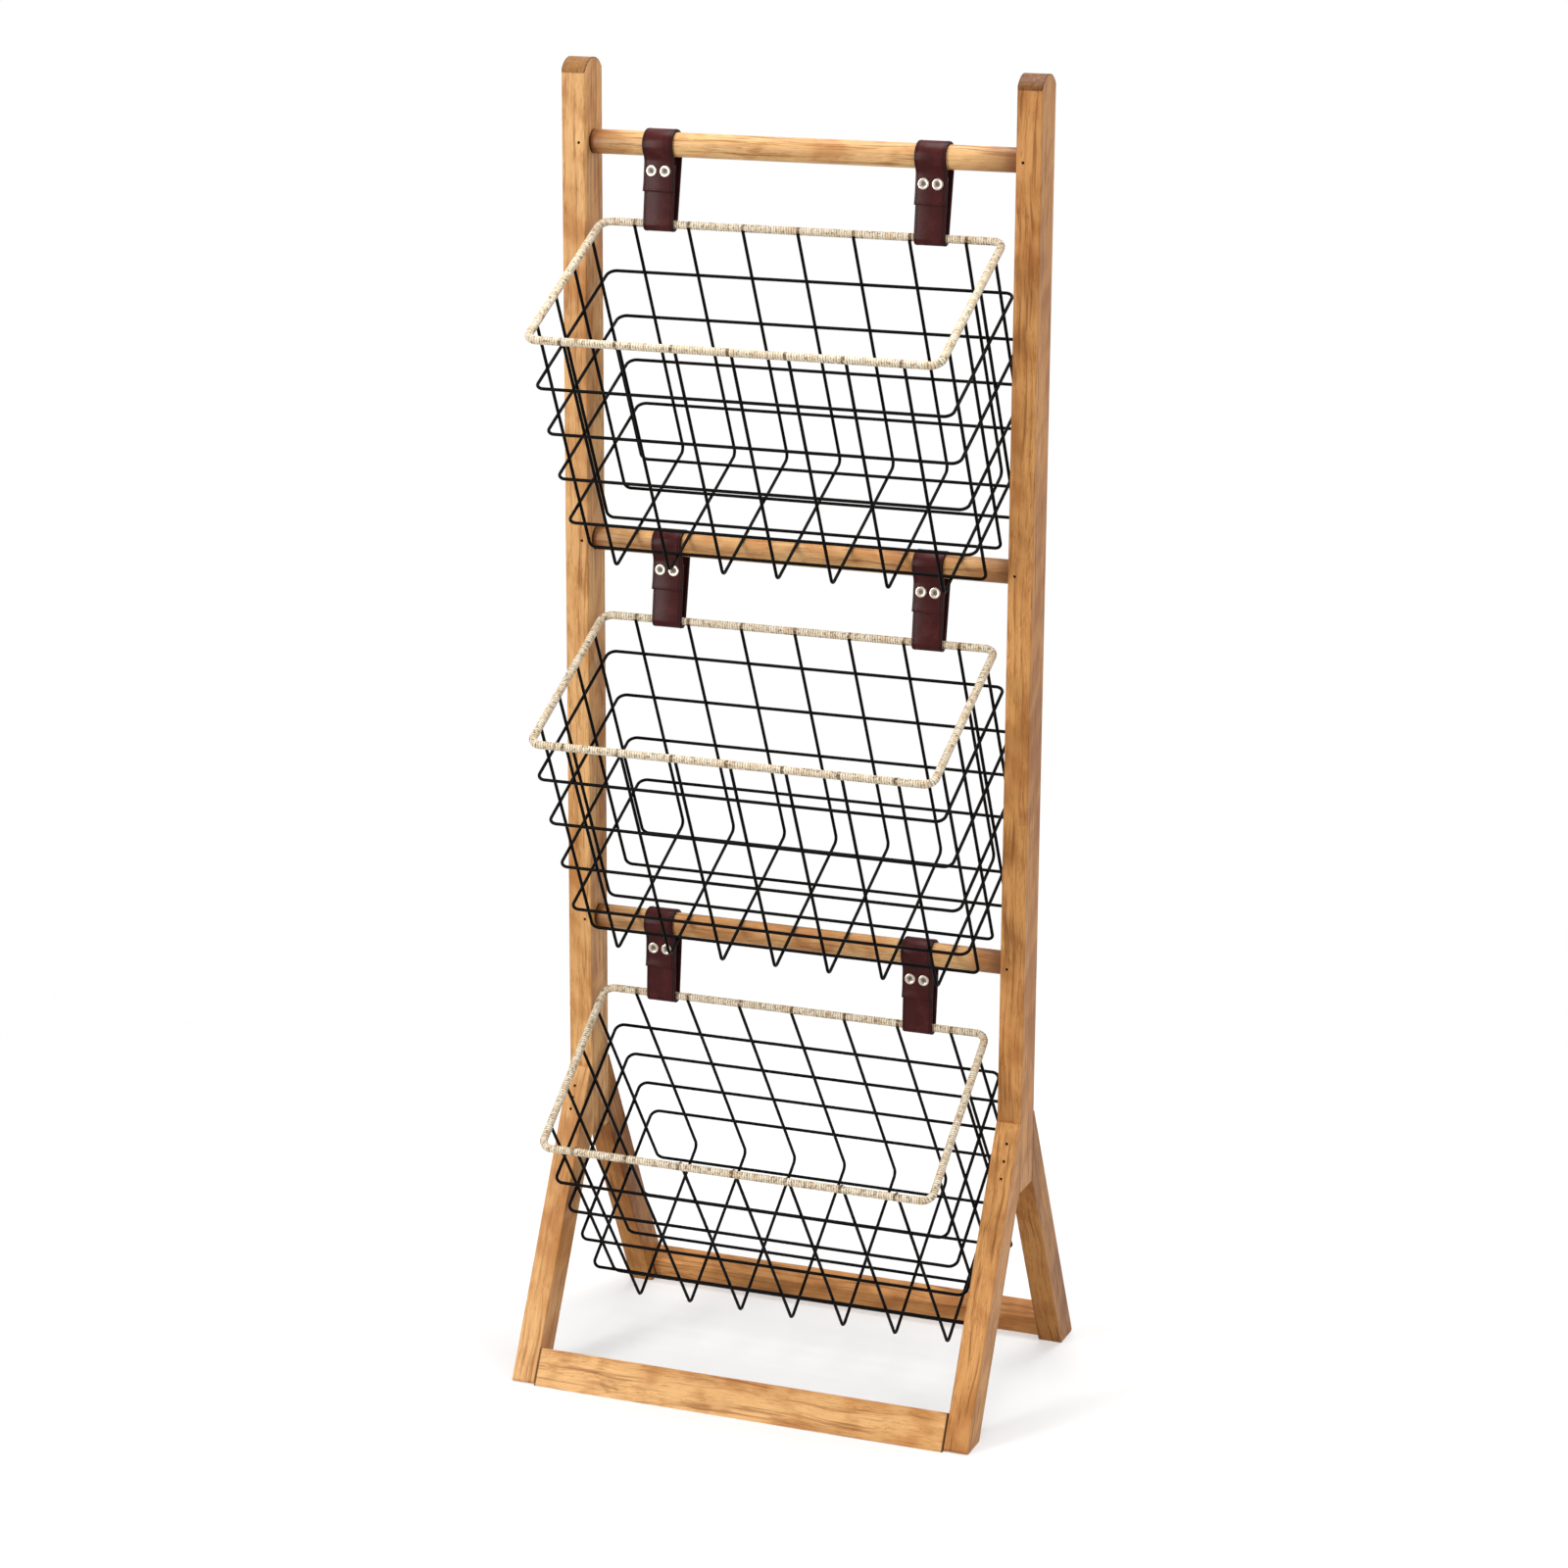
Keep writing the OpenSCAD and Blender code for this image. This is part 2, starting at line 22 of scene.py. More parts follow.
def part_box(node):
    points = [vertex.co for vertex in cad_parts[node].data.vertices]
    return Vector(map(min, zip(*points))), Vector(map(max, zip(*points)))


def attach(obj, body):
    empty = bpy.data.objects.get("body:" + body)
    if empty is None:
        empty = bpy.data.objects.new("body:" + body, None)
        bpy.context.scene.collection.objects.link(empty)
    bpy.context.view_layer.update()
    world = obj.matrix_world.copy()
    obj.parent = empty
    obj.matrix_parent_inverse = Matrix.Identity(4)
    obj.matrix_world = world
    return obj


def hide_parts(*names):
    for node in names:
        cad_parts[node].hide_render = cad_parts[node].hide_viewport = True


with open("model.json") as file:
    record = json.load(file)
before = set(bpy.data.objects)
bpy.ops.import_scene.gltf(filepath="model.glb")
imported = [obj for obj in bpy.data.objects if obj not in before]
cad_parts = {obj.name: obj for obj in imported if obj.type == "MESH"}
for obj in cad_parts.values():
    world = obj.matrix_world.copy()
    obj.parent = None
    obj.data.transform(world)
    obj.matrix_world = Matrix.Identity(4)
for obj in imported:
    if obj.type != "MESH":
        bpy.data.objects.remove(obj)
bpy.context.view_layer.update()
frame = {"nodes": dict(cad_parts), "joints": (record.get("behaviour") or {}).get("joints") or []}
MM = 0.001
QUARTER = math.radians(90)
ORIGIN = Vector((0.0, 0.0, 0.0))

# Past every piece: where a board without an arch or a joint has them
FAR = 9.0

log = logging.getLogger("rack")

Colour = tuple[float, float, float, float]
Socket = bpy.types.NodeSocket
Values = dict[str, Any]
BMesh = bmesh.types.BMesh
Mesh = bpy.types.Mesh


def srgb(red: int, green: int, blue: int) -> Colour:
    """Turn a colour of 0 to 255 parts into linear light.

    Args:
        red: Red part.
        green: Green part.
        blue: Blue part.

    Returns:
        The linear colour, with full alpha.
    """

    def linear(part: int) -> float:
        """Undo the standard display curve of one part."""
        share = part / 255
        return share / 12.92 if share <= 0.04045 else ((share + 0.055) / 1.055) ** 2.4

    return (linear(red), linear(green), linear(blue), 1.0)


def joint_place(name: str) -> Vector:
    """Find where a joint's axis is at rest.

    Args:
        name: Name of the joint.

    Returns:
        A point on the axis.
    """
    for joint in frame["joints"]:
        if joint["name"] == name:
            return Vector(joint["pos_m"])
    raise ValueError(f"no joint is named {name}")


def flat(angle: float) -> Vector:
    """Give the level direction at an angle from +x towards +y."""
    return Vector((math.cos(angle), math.sin(angle), 0))


def upright(angle: float) -> Vector:
    """Give the direction at an angle from +y towards +z."""
    return Vector((0, math.cos(angle), math.sin(angle)))


# Shader nodes


@dataclass(frozen=True)
class Layer:
    """Smooth noise: its waves a metre, its finer waves, their strength and any stretch."""

    scale: float
    detail: float
    rough: float
    stretch: tuple[float, float, float] | None = None


@dataclass(frozen=True)
class Stain:
    """A colour that covers a surface as a mask goes from clear to full.

    A second mask, named by within, weakens the first.
    """

    mask: str
    clear: float
    full: float
    strength: float
    colour: str
    within: str = ""


class Nodes:
    """Adds nodes to one tree and links them."""

    def __init__(self, tree: bpy.types.NodeTree) -> None:
        """Start on an empty tree."""
        self.tree = tree
        tree.nodes.clear()

    def feed(self, socket: Socket, value: Any) -> None:
        """Link a socket to another, or set its value."""
        if isinstance(value, Socket):
            self.tree.links.new(value, socket)
        else:
            socket.default_value = value

    def add(self, kind: str, inputs: dict[Any, Any], **settings: Any) -> bpy.types.Node:
        """Add a node.

        Args:
            kind: The node's type name.
            inputs: Values or sockets, by the name or number of the input.
            settings: The node's own properties.

        Returns:
            The new node.
        """
        node = self.tree.nodes.new(kind)
        for name, value in settings.items():
            setattr(node, name, value)
        for key, value in inputs.items():
            self.feed(node.inputs[key], value)
        return node

    def math(self, operation: str, *values: Any) -> Socket:
        """Do arithmetic on one to three numbers."""
        node = self.add("ShaderNodeMath", dict(enumerate(values)), operation=operation)
        return node.outputs[0]

    def apart(self, first: Any, second: Any) -> Socket:
        """Find how far apart two numbers are."""
        return self.math("ABSOLUTE", self.math("SUBTRACT", first, second))

    def parts(self, vector: Any) -> bpy.types.bpy_prop_collection:
        """Split a vector into its x, y and z."""
        return self.add("ShaderNodeSeparateXYZ", {0: vector}).outputs

    def scaled(self, vector: Any, by: tuple[float, float, float]) -> Socket:
        """Multiply a vector part by part."""
        node = self.add("ShaderNodeVectorMath", {0: vector, 1: by}, operation="MULTIPLY")
        return node.outputs[0]

    def mix(self, share: Any, first: Any, second: Any) -> Socket:
        """Blend a share of a second colour into a first."""
        node = self.add("ShaderNodeMix", {0: share, 6: first, 7: second}, data_type="RGBA")
        return node.outputs[2]

    def spread(self, value: Any, low: float, high: float, to_low: Any = 0.0,
               to_high: Any = 1.0) -> Socket:
        """Map a range of numbers smoothly onto another.

        Args:
            value: The number to map.
            low: Start of its range.
            high: End of its range.
            to_low: What the start becomes.
            to_high: What the end becomes.

        Returns:
            The mapped number.
        """
        node = self.add(
            "ShaderNodeMapRange",
            {0: value, 1: low, 2: high, 3: to_low, 4: to_high},
            interpolation_type="SMOOTHSTEP",
        )
        return node.outputs[0]

    def noise(self, vector: Any, layer: Layer) -> bpy.types.bpy_prop_collection:
        """Make smooth noise.

        Args:
            vector: Where to read it.
            layer: How fine it is.

        Returns:
            The noise from 0 to 1, and three such noises as a colour.
        """
        if layer.stretch:
            vector = self.scaled(vector, layer.stretch)
        return self.add(
            "ShaderNodeTexNoise",
            {"Vector": vector, "Scale": layer.scale, "Detail": layer.detail,
             "Roughness": layer.rough},
        ).outputs


class Effect:
    """A shader group with named inputs and outputs, built once.

    Its layers of noise and its other masks go by name, and its stains lie over each other
    in their order.
    """

    name = ""
    inputs: Values = {}
    outputs: tuple[str, ...] = ("Color", "Roughness", "Height")
    layers: dict[str, Layer] = {}
    stains: tuple[Stain, ...] = ()

    def draw(self, nodes: Nodes, given: Values) -> Values:
        """Draw the inside of the group.

        Args:
            nodes: The group's nodes.
            given: The group's input sockets by name.

        Returns:
            What each output gets, by name.
        """
        raise NotImplementedError

    def noises(self, nodes: Nodes, vector: Any) -> Values:
        """Make the noise of each layer, by name."""
        return {name: nodes.noise(vector, layer)[0] for name, layer in self.layers.items()}

    def stained(self, nodes: Nodes, base: Any, masks: Values, given: Values) -> Socket:
        """Lay the stains over a colour.

        Args:
            nodes: The group's nodes.
            base: The colour under all stains.
            masks: The masks by name.
            given: The group's input sockets by name.

        Returns:
            The stained colour.
        """
        for stain in self.stains:
            share = nodes.spread(
                masks[stain.mask], stain.clear, stain.full, to_high=stain.strength
            )
            if stain.within:
                share = nodes.math("MULTIPLY", share, masks[stain.within])
            base = nodes.mix(share, base, given[stain.colour])
        return base

    def group(self) -> bpy.types.NodeTree:
        """Build the group, or find it if it is there already."""
        found = bpy.data.node_groups.get(self.name)
        if found:
            return found
        tree = bpy.data.node_groups.new(self.name, "ShaderNodeTree")
        nodes = Nodes(tree)
        kinds = {float: "NodeSocketFloat", tuple: "NodeSocketColor", Vector: "NodeSocketVector"}
        for name, value in self.inputs.items():
            socket = tree.interface.new_socket(
                name=name, in_out="INPUT", socket_type=kinds[type(value)]
            )
            socket.default_value = value
        for name in self.outputs:
            kind = "NodeSocketColor" if name == "Color" else "NodeSocketFloat"
            tree.interface.new_socket(name=name, in_out="OUTPUT", socket_type=kind)
        start = nodes.add("NodeGroupInput", {})
        end = nodes.add("NodeGroupOutput", {})
        drawn = self.draw(nodes, {name: start.outputs[name] for name in self.inputs})
        for name, value in drawn.items():
            nodes.feed(end.inputs[name], value)
        return tree

    def place(self, nodes: Nodes, values: Values) -> bpy.types.Node:
        """Put the group into a material with its own values."""
        node = nodes.add("ShaderNodeGroup", {}, node_tree=self.group())
        for name, value in values.items():
            nodes.feed(node.inputs[name], value)
        return node


class WoodFigure(Effect):
    """Growth rings, flame, streaks, flecks and pores, with the grain along Z.

    The end grain of an arched top is darker. Towards a rung's ends the wood is painted
    darker, painted shade where it goes into the posts, and a thin painted shadow line marks
    the joint at a rung's or rail's end. Both are found from the piece's own place: the
    arch's axis and radius, and how far out on X the wood goes into another piece.
    """

    name = "wood_figure"
    inputs = {
        "Vector": ORIGIN,
        "Place": ORIGIN,
        "Pale": srgb(240, 188, 126),
        "Mid": srgb(218, 160, 96),
        "Deep": srgb(184, 122, 64),
        "Dark": srgb(134, 78, 34),
        "End": srgb(128, 86, 44),
        "Line": srgb(64, 32, 14),
        "Arch X": 0.0,
        "Arch Half": FAR,
        "Arch Y": 0.0,
        "Arch Z": FAR,
        "Arch Radius": FAR,
        "Joint X": FAR,
        "Painted Joint Shade": 0.0,
    }
    layers = {
        "broad": Layer(24.0, 2.0, 0.45, (1.0, 1.0, 0.22)),
        "streak": Layer(300.0, 3.0, 0.6, (1.0, 1.0, 0.03)),
        "fleck": Layer(420.0, 2.0, 0.5, (1.0, 1.0, 0.16)),
        "fibre": Layer(900.0, 3.0, 0.6, (1.0, 1.0, 0.025)),
        "pore": Layer(1500.0, 1.0, 0.4, (1.0, 1.0, 0.055)),
        "curl": Layer(420.0, 3.0, 0.6, (1.0, 1.0, 0.2)),
    }
    waver = Layer(17.0, 1.5, 0.5, (1.0, 1.0, 0.55))
    waver_reach = (14 * MM, 14 * MM, 0.0)
    flame = Layer(50.0, 2.0, 0.4, (1.0, 1.0, 0.2))
    flame_turns = {"X_AXIS": math.radians(38), "Y_AXIS": math.radians(24)}
    ring_stretch = (1.0, 1.0, 0.06)
    late_tone = 0.34
    late_height = 0.25
    fibre_height = 0.75
    stains = (
        Stain("broad", 0.4, 0.68, 0.8, "Deep"),
        Stain("late", 0.4, 1.0, 0.6, "Deep"),
        Stain("flame", 0.42, 0.68, 0.5, "Pale"),
        Stain("flame", 0.52, 0.28, 0.5, "Deep"),
        Stain("streak", 0.5, 0.7, 0.65, "Dark"),
        Stain("fleck", 0.67, 0.75, 0.4, "Dark"),
        Stain("fibre", 0.35, 0.75, 0.2, "Dark"),
        Stain("pore", 0.66, 0.78, 0.4, "Dark"),
        Stain("past_arch", -0.9 * MM, -0.2 * MM, 1.0, "End", within="end_grain"),
        Stain("past_arch", -0.9 * MM, -0.3 * MM, 1.0, "Line", within="arch_side"),
        # Painted shade: the wood darkens towards a rung's ends where it goes into the posts, and
        # a thin painted shadow line marks each joint
        Stain("past_joint", -60 * MM, 0.0, 1.0, "Dark", within="painted_joint_shade"),
        Stain("past_joint", -16 * MM, 0.0, 1.0, "Dark", within="painted_joint_shade"),
        Stain("past_joint", -2.4 * MM, -1.2 * MM, 0.9, "Line"),
    )

    def draw(self, nodes: Nodes, given: Values) -> Values:
        """Draw the figure from stretched rings and noises, and the darker ends over it."""
        vector = nodes.add(
            "ShaderNodeVectorMath",
            {0: nodes.noise(given["Vector"], self.waver)["Color"], 1: self.waver_reach,
             2: given["Vector"]},
            operation="MULTIPLY_ADD",
        ).outputs[0]
        rings = nodes.add(
            "ShaderNodeTexWave",
            {"Vector": nodes.scaled(vector, self.ring_stretch), "Scale": 52.0,
             "Distortion": 6.0, "Detail": 2.0, "Detail Scale": 20.0, "Detail Roughness": 0.55},
            wave_type="RINGS", rings_direction="Z", wave_profile="SAW",
        ).outputs[1]
        turned = vector
        for axis, angle in self.flame_turns.items():
            turned = nodes.add(
                "ShaderNodeVectorRotate", {"Vector": turned, "Angle": angle}, rotation_type=axis
            ).outputs[0]
        late = nodes.spread(rings, low=0.5, high=1.0)
        masks = self.noises(nodes, vector) | self.ends(nodes, given)
        masks |= {"late": late, "flame": nodes.noise(turned, self.flame)[0]}
        masks["end_grain"] = nodes.spread(masks["curl"], low=0.25, high=0.7, to_low=0.72)
        tone = nodes.math(
            "MULTIPLY_ADD", late, self.late_tone,
            nodes.spread(masks["broad"], low=0.3, high=0.66, to_high=0.7),
        )
        base = nodes.mix(tone, given["Pale"], given["Mid"])
        fibre = nodes.math("MULTIPLY", masks["fibre"], self.fibre_height)
        return {
            "Color": self.stained(nodes, base, masks, given),
            "Roughness": nodes.spread(
                masks["fibre"], low=0.3, high=0.8, to_low=0.36, to_high=0.54),
            "Height": nodes.math("MULTIPLY_ADD", late, self.late_height, fibre),
        }

    def ends(self, nodes: Nodes, given: Values) -> Values:
        """Find how near the wood is to its arched top and to its joints.

        Args:
            nodes: The group's nodes.
            given: The group's input sockets by name.

        Returns:
            The masks by name. Those named past are distances, negative inside the wood.
        """
        x, y, z = nodes.parts(given["Place"])
        back = nodes.math("SUBTRACT", y, given["Arch Y"])
        rise = nodes.math("MAXIMUM", nodes.math("SUBTRACT", z, given["Arch Z"]), 0.0)
        squares = nodes.math(
            "ADD", nodes.math("POWER", back, 2.0), nodes.math("POWER", rise, 2.0)
        )
        reach = nodes.math("POWER", squares, 0.5)
        cheek = nodes.math("SUBTRACT", nodes.apart(x, given["Arch X"]), given["Arch Half"])
        return {
            "past_arch": nodes.math("SUBTRACT", reach, given["Arch Radius"]),
            "arch_side": nodes.spread(cheek, low=-1.5 * MM, high=-0.5 * MM, to_high=0.7),
            "past_joint": nodes.math("SUBTRACT", nodes.math("ABSOLUTE", x), given["Joint X"]),
            "painted_joint_shade": given["Painted Joint Shade"],
        }


class LeatherGrain(Effect):
    """Pebbled leather with burnished edges, on a map of across and along."""

    name = "leather_grain"
    inputs = {
        "Vector": ORIGIN,
        "Map": ORIGIN,
        "Face": srgb(64, 22, 22),
        "Worn": srgb(90, 43, 40),
        "Edge": srgb(20, 8, 8),
    }
    layers = {
        "crease": Layer(420.0, 3.0, 0.65, (0.6, 1.0, 1.0)),
        "scuff": Layer(70.0, 3.0, 0.6),
    }
    pebble_scale = 1250.0
    edge = (0.455, 0.495)
    seam = 0.42
    crease_height = 0.5
    stains = (
        Stain("scuff", 0.42, 0.72, 0.45, "Worn"),
        # The creases and the line along each seam are painted darker: painted shade in their
        # hollows
        Stain("crease", 0.55, 0.75, 0.35, "Edge"),
        Stain("side", *edge, 0.85, "Edge"),
        Stain("from_seam", 0.03, 0.01, 0.7, "Edge"),
    )

    def draw(self, nodes: Nodes, given: Values) -> Values:
        """Draw pebbles, creases painted darker as painted shade, a scuffed face, dark edges and
        a painted shade along each seam.
        """
        pebble = nodes.add(
            "ShaderNodeTexVoronoi", {"Vector": given["Vector"], "Scale": self.pebble_scale},
            feature="SMOOTH_F1",
        ).outputs["Distance"]
        masks = self.noises(nodes, given["Vector"])
        masks["side"] = nodes.apart(nodes.parts(given["Map"])[0], 0.5)
        masks["from_seam"] = nodes.apart(masks["side"], self.seam)
        return {
            "Color": self.stained(nodes, given["Face"], masks, given),
            "Roughness": nodes.math(
                "ADD", nodes.spread(pebble, low=0.1, high=0.6, to_low=0.4, to_high=0.52),
                nodes.spread(masks["side"], *self.edge, to_high=0.15),
            ),
            "Height": nodes.math("MULTIPLY_ADD", masks["crease"], self.crease_height, pebble),
        }


class CordStrands(Effect):
    """Turns of mottled cord, on a map of turns along and share around.

    The grooves between its plies and turns are painted darker, painted shade, and the cord is
    darker where the long wires are bound in, at a pitch on X from a middle; both vary in
    patches.
    """

    name = "cord_strands"
    inputs = {
        "Vector": ORIGIN,
        "Map": ORIGIN,
        "Pale": srgb(246, 233, 208),
        "Tan": srgb(222, 194, 156),
        "Dark": srgb(98, 74, 48),
        "Wire X": 0.0,
        "Wire Pitch": 1.0,
    }
    layers = {
        "fleck": Layer(330.0, 2.0, 0.6),
        "patch": Layer(45.0, 2.0, 0.6),
        "fibre": Layer(1600.0, 2.0, 0.6),
    }
    plies_around = 14.0
    ply_slant = 0.8
    fibre_height = 0.4
    stains = (
        Stain("shade", 0.3, 0.95, 0.75, "Tan"),
        Stain("patch", 0.5, 0.66, 0.3, "Tan"),
        # The ply lines and the grooves between turns are painted darker: painted shade
        Stain("from_ply", 0.3, 0.5, 0.28, "Dark"),
        Stain("fleck", 0.54, 0.66, 0.7, "Dark"),
        Stain("from_turn", 0.28, 0.46, 0.9, "Dark", within="dark_patches"),
        Stain("fibre", 0.5, 0.8, 0.3, "Pale"),
        # Darker where the long wires are bound in
        Stain("from_wire", 2.0 * MM, 1.0 * MM, 0.95, "Dark", within="dark_patches"),
    )

    def draw(self, nodes: Nodes, given: Values) -> Values:
        """Draw a tone for each turn, patches along the rim, plies, and painted shade in the
        grooves.
        """
        along, around, _ = nodes.parts(given["Map"])
        turn = nodes.math("ADD", along, around)
        within = nodes.math("FRACT", turn)
        slant = nodes.math("MULTIPLY", within, self.ply_slant)
        ply = nodes.math("MULTIPLY_ADD", around, self.plies_around, slant)
        across = nodes.math("SUBTRACT", nodes.parts(given["Vector"])[0], given["Wire X"])
        wires = nodes.math("ADD", nodes.math("DIVIDE", across, given["Wire Pitch"]), 0.5)
        from_wire = nodes.apart(nodes.math("FRACT", wires), 0.5)
        masks = self.noises(nodes, given["Vector"])
        masks |= {
            "shade": nodes.add(
                "ShaderNodeTexWhiteNoise", {"W": nodes.math("FLOOR", turn)},
                noise_dimensions="1D",
            ).outputs["Value"],
            "from_ply": nodes.apart(nodes.math("FRACT", ply), 0.5),
            "from_turn": nodes.apart(within, 0.5),
            "from_wire": nodes.math("MULTIPLY", from_wire, given["Wire Pitch"]),
            # Varies the painted groove shade and the dark bands at the wires in patches
            "dark_patches": nodes.spread(masks["fleck"], low=0.36, high=0.56, to_low=0.4),
        }
        return {
            "Color": self.stained(nodes, given["Pale"], masks, given),
            "Roughness": nodes.spread(
                masks["fibre"], low=0.2, high=0.8, to_low=0.7, to_high=0.9),
            "Height": nodes.math(
                "SUBTRACT", nodes.math("MULTIPLY", masks["fibre"], self.fibre_height),
                nodes.spread(masks["from_ply"], low=0.2, high=0.5),
            ),
        }


class SunkMiddle(Effect):
    """Bright metal with a dark middle, a painted reflection, and a darker foot, painted shade,
    on a map of the share out from the centre.
    """

    name = "sunk_middle"
    inputs = {
        "Vector": ORIGIN,
        "Map": ORIGIN,
        "Bright": srgb(204, 192, 180),
        "Warm": srgb(122, 102, 82),
        "Painted Reflection": srgb(80, 68, 48),
    }
    outputs = ("Color", "Roughness", "Metallic", "Height")
    layers = {"cloud": Layer(240.0, 2.0, 0.6), "wear": Layer(1100.0, 2.0, 0.6)}
    ragged = 0.3
    dish = (0.78, 0.34)
    stains = (
        # The warm ring round the dome's foot is painted shade, the dark dish a painted
        # reflection; the fine wear is real
        Stain("out", 0.74, 1.0, 0.95, "Warm"),
        Stain("wear", 0.5, 0.75, 0.4, "Warm"),
        Stain("past_dish", *dish, 0.92, "Painted Reflection"),
    )

    def draw(self, nodes: Nodes, given: Values) -> Values:
        """Draw a dark dish, a painted reflection, a warm foot round the dome, painted shade, and
        fine wear.
        """
        masks = self.noises(nodes, given["Vector"])
        masks["out"] = nodes.parts(given["Map"])[0]
        masks["past_dish"] = nodes.math(
            "MULTIPLY_ADD", masks["cloud"], self.ragged, masks["out"]
        )
        return {
            "Color": self.stained(nodes, given["Bright"], masks, given),
            "Roughness": nodes.math(
                "ADD", nodes.spread(masks["past_dish"], *self.dish, to_high=0.3),
                nodes.spread(masks["wear"], low=0.3, high=0.8, to_low=0.16, to_high=0.3),
            ),
            "Metallic": nodes.spread(masks["past_dish"], *self.dish, to_low=0.95, to_high=0.05),
            "Height": masks["wear"],
        }


class Smudge(Effect):
    """Faint marks that vary the gloss of paint and metal."""

    name = "smudge"
    inputs = {
        "Vector": ORIGIN,
        "Clean": srgb(30, 30, 30),
        "Marked": srgb(40, 40, 40),
        "Smooth": 0.3,
        "Rough": 0.5,
    }
    layers = {"mark": Layer(60.0, 3.0, 0.6), "peel": Layer(900.0, 2.0, 0.5)}
    mark = (0.35, 0.7)
    stains = (Stain("mark", *mark, 1.0, "Marked"),)

    def draw(self, nodes: Nodes, given: Values) -> Values:
        """Draw broad smudges over a fine orange-peel."""
        masks = self.noises(nodes, given["Vector"])
        return {
            "Color": self.stained(nodes, given["Clean"], masks, given),
            "Roughness": nodes.spread(
                masks["mark"], *self.mark, to_low=given["Smooth"], to_high=given["Rough"]),
            "Height": masks["peel"],
        }


# Finishes


@dataclass(frozen=True)
class Finish:
    """A surface finish: one effect, and the uniform settings of its shader.

    Its effect reads the piece's own map where it is mapped, and the piece's unturned place
    where it is placed.
    """

    name: str
    effect: Effect
    values: Values = field(default_factory=dict)
    metallic: float = 0.0
    coat: float = 0.0
    coat_rough: float = 0.2
    sheen: float = 0.0
    specular: float = 0.5
    bump: float = 0.3
    bump_height: float = 0.2 * MM
    mapped: bool = False
    placed: bool = False

    def material(self, owner: str = "", extra: Values | None = None,
                 turn: Euler | None = None, shift: Vector | None = None) -> bpy.types.Material:
        """Make the material, or find it if it is there already.

        Args:
            owner: The piece whose own pattern it has, which ends its name.
            extra: The piece's own values for the effect.
            turn: Turns the pattern, so that its Z follows the piece.
            shift: Moves the turned pattern.

        Returns:
            The material.
        """
        name = f"{self.name}_{owner}" if owner else self.name
        found = bpy.data.materials.get(name)
        if found:
            return found
        material = bpy.data.materials.new(name)
        material.use_nodes = True
        nodes = Nodes(material.node_tree)
        place = nodes.add("ShaderNodeTexCoord", {})
        mapping = nodes.add(
            "ShaderNodeMapping",
            {"Vector": place.outputs["Object"], "Rotation": turn or Euler(),
             "Location": shift or ORIGIN},
        )
        values = dict(self.values, **(extra or {}))
        values["Vector"] = mapping.outputs[0]
        if self.mapped:
            values["Map"] = place.outputs["UV"]
        if self.placed:
            values["Place"] = place.outputs["Object"]
        look = self.effect.place(nodes, values)
        bump = nodes.add(
            "ShaderNodeBump",
            {"Height": look.outputs["Height"], "Strength": self.bump,
             "Distance": self.bump_height},
        )
        metallic = look.outputs["Metallic"] if "Metallic" in look.outputs else self.metallic
        shader = nodes.add(
            "ShaderNodeBsdfPrincipled",
            {"Base Color": look.outputs["Color"], "Roughness": look.outputs["Roughness"],
             "Normal": bump.outputs[0], "Metallic": metallic, "Coat Weight": self.coat,
             "Coat Roughness": self.coat_rough, "Sheen Weight": self.sheen,
             "Specular IOR Level": self.specular},
        )
        nodes.add("ShaderNodeOutputMaterial", {"Surface": shader.outputs[0]})
        return material


PINE = Finish(
    "honey_pine", WoodFigure(), coat=0.02, coat_rough=0.4, specular=0.12, bump=0.35, placed=True
)
# A darker copy of the pine, painted shade, for the right-hand boards and the rear rail
SHADED_PINE = replace(
    PINE, name="shaded_pine",
    values={"Pale": srgb(222, 162, 98), "Mid": srgb(200, 138, 78), "Deep": srgb(168, 107, 54),
            "Dark": srgb(118, 66, 28), "End": srgb(96, 58, 28)},
)
# A still darker copy of the pine for the rear legs: painted shade, as they stand in the rack's
# shade
REAR_PINE = replace(
    PINE, name="rear_shaded_pine", specular=0.1,
    values={"Pale": srgb(194, 137, 76), "Mid": srgb(172, 114, 58), "Deep": srgb(142, 86, 39),
            "Dark": srgb(98, 53, 22)},
)
DOWEL_PINE = replace(
    PINE, name="dowel_pine", coat=0.1, coat_rough=0.25, specular=0.15, bump=0.3,
    values={"Pale": srgb(240, 194, 134), "Mid": srgb(218, 166, 108),
            "Deep": srgb(184, 124, 68), "Dark": srgb(116, 64, 26)},
)
OXBLOOD = Finish(
    "oxblood_leather", LeatherGrain(), coat=0.13, coat_rough=0.25, specular=0.04, bump=0.35,
    mapped=True,
)
THREAD = Finish(
    "waxed_thread", Smudge(),
    {"Clean": srgb(20, 8, 9), "Marked": srgb(36, 15, 16), "Smooth": 0.5, "Rough": 0.7},
    specular=0.15, bump=0.2,
)
CORD = Finish("wound_cord", CordStrands(), sheen=0.1, specular=0.15, bump=0.6, mapped=True)
BLACK_WIRE = Finish(
    "black_wire", Smudge(),
    {"Clean": srgb(10, 9, 9), "Marked": srgb(18, 16, 15), "Smooth": 0.32, "Rough": 0.48},
    specular=0.03, bump=0.12, bump_height=0.05 * MM,
)
# The posts' tips show in the caps' middles, and their dark olive is the same painted reflection
# as the caps' dark dish
NICKEL = Finish(
    "bright_nickel", Smudge(),
    {"Clean": srgb(116, 104, 80), "Marked": srgb(74, 62, 44), "Smooth": 0.25, "Rough": 0.45},
    metallic=0.9, bump=0.08, bump_height=0.05 * MM,
)
CAP_METAL = Finish(
    "cap_metal", SunkMiddle(), bump=0.1, bump_height=0.05 * MM, specular=0.3, mapped=True
)
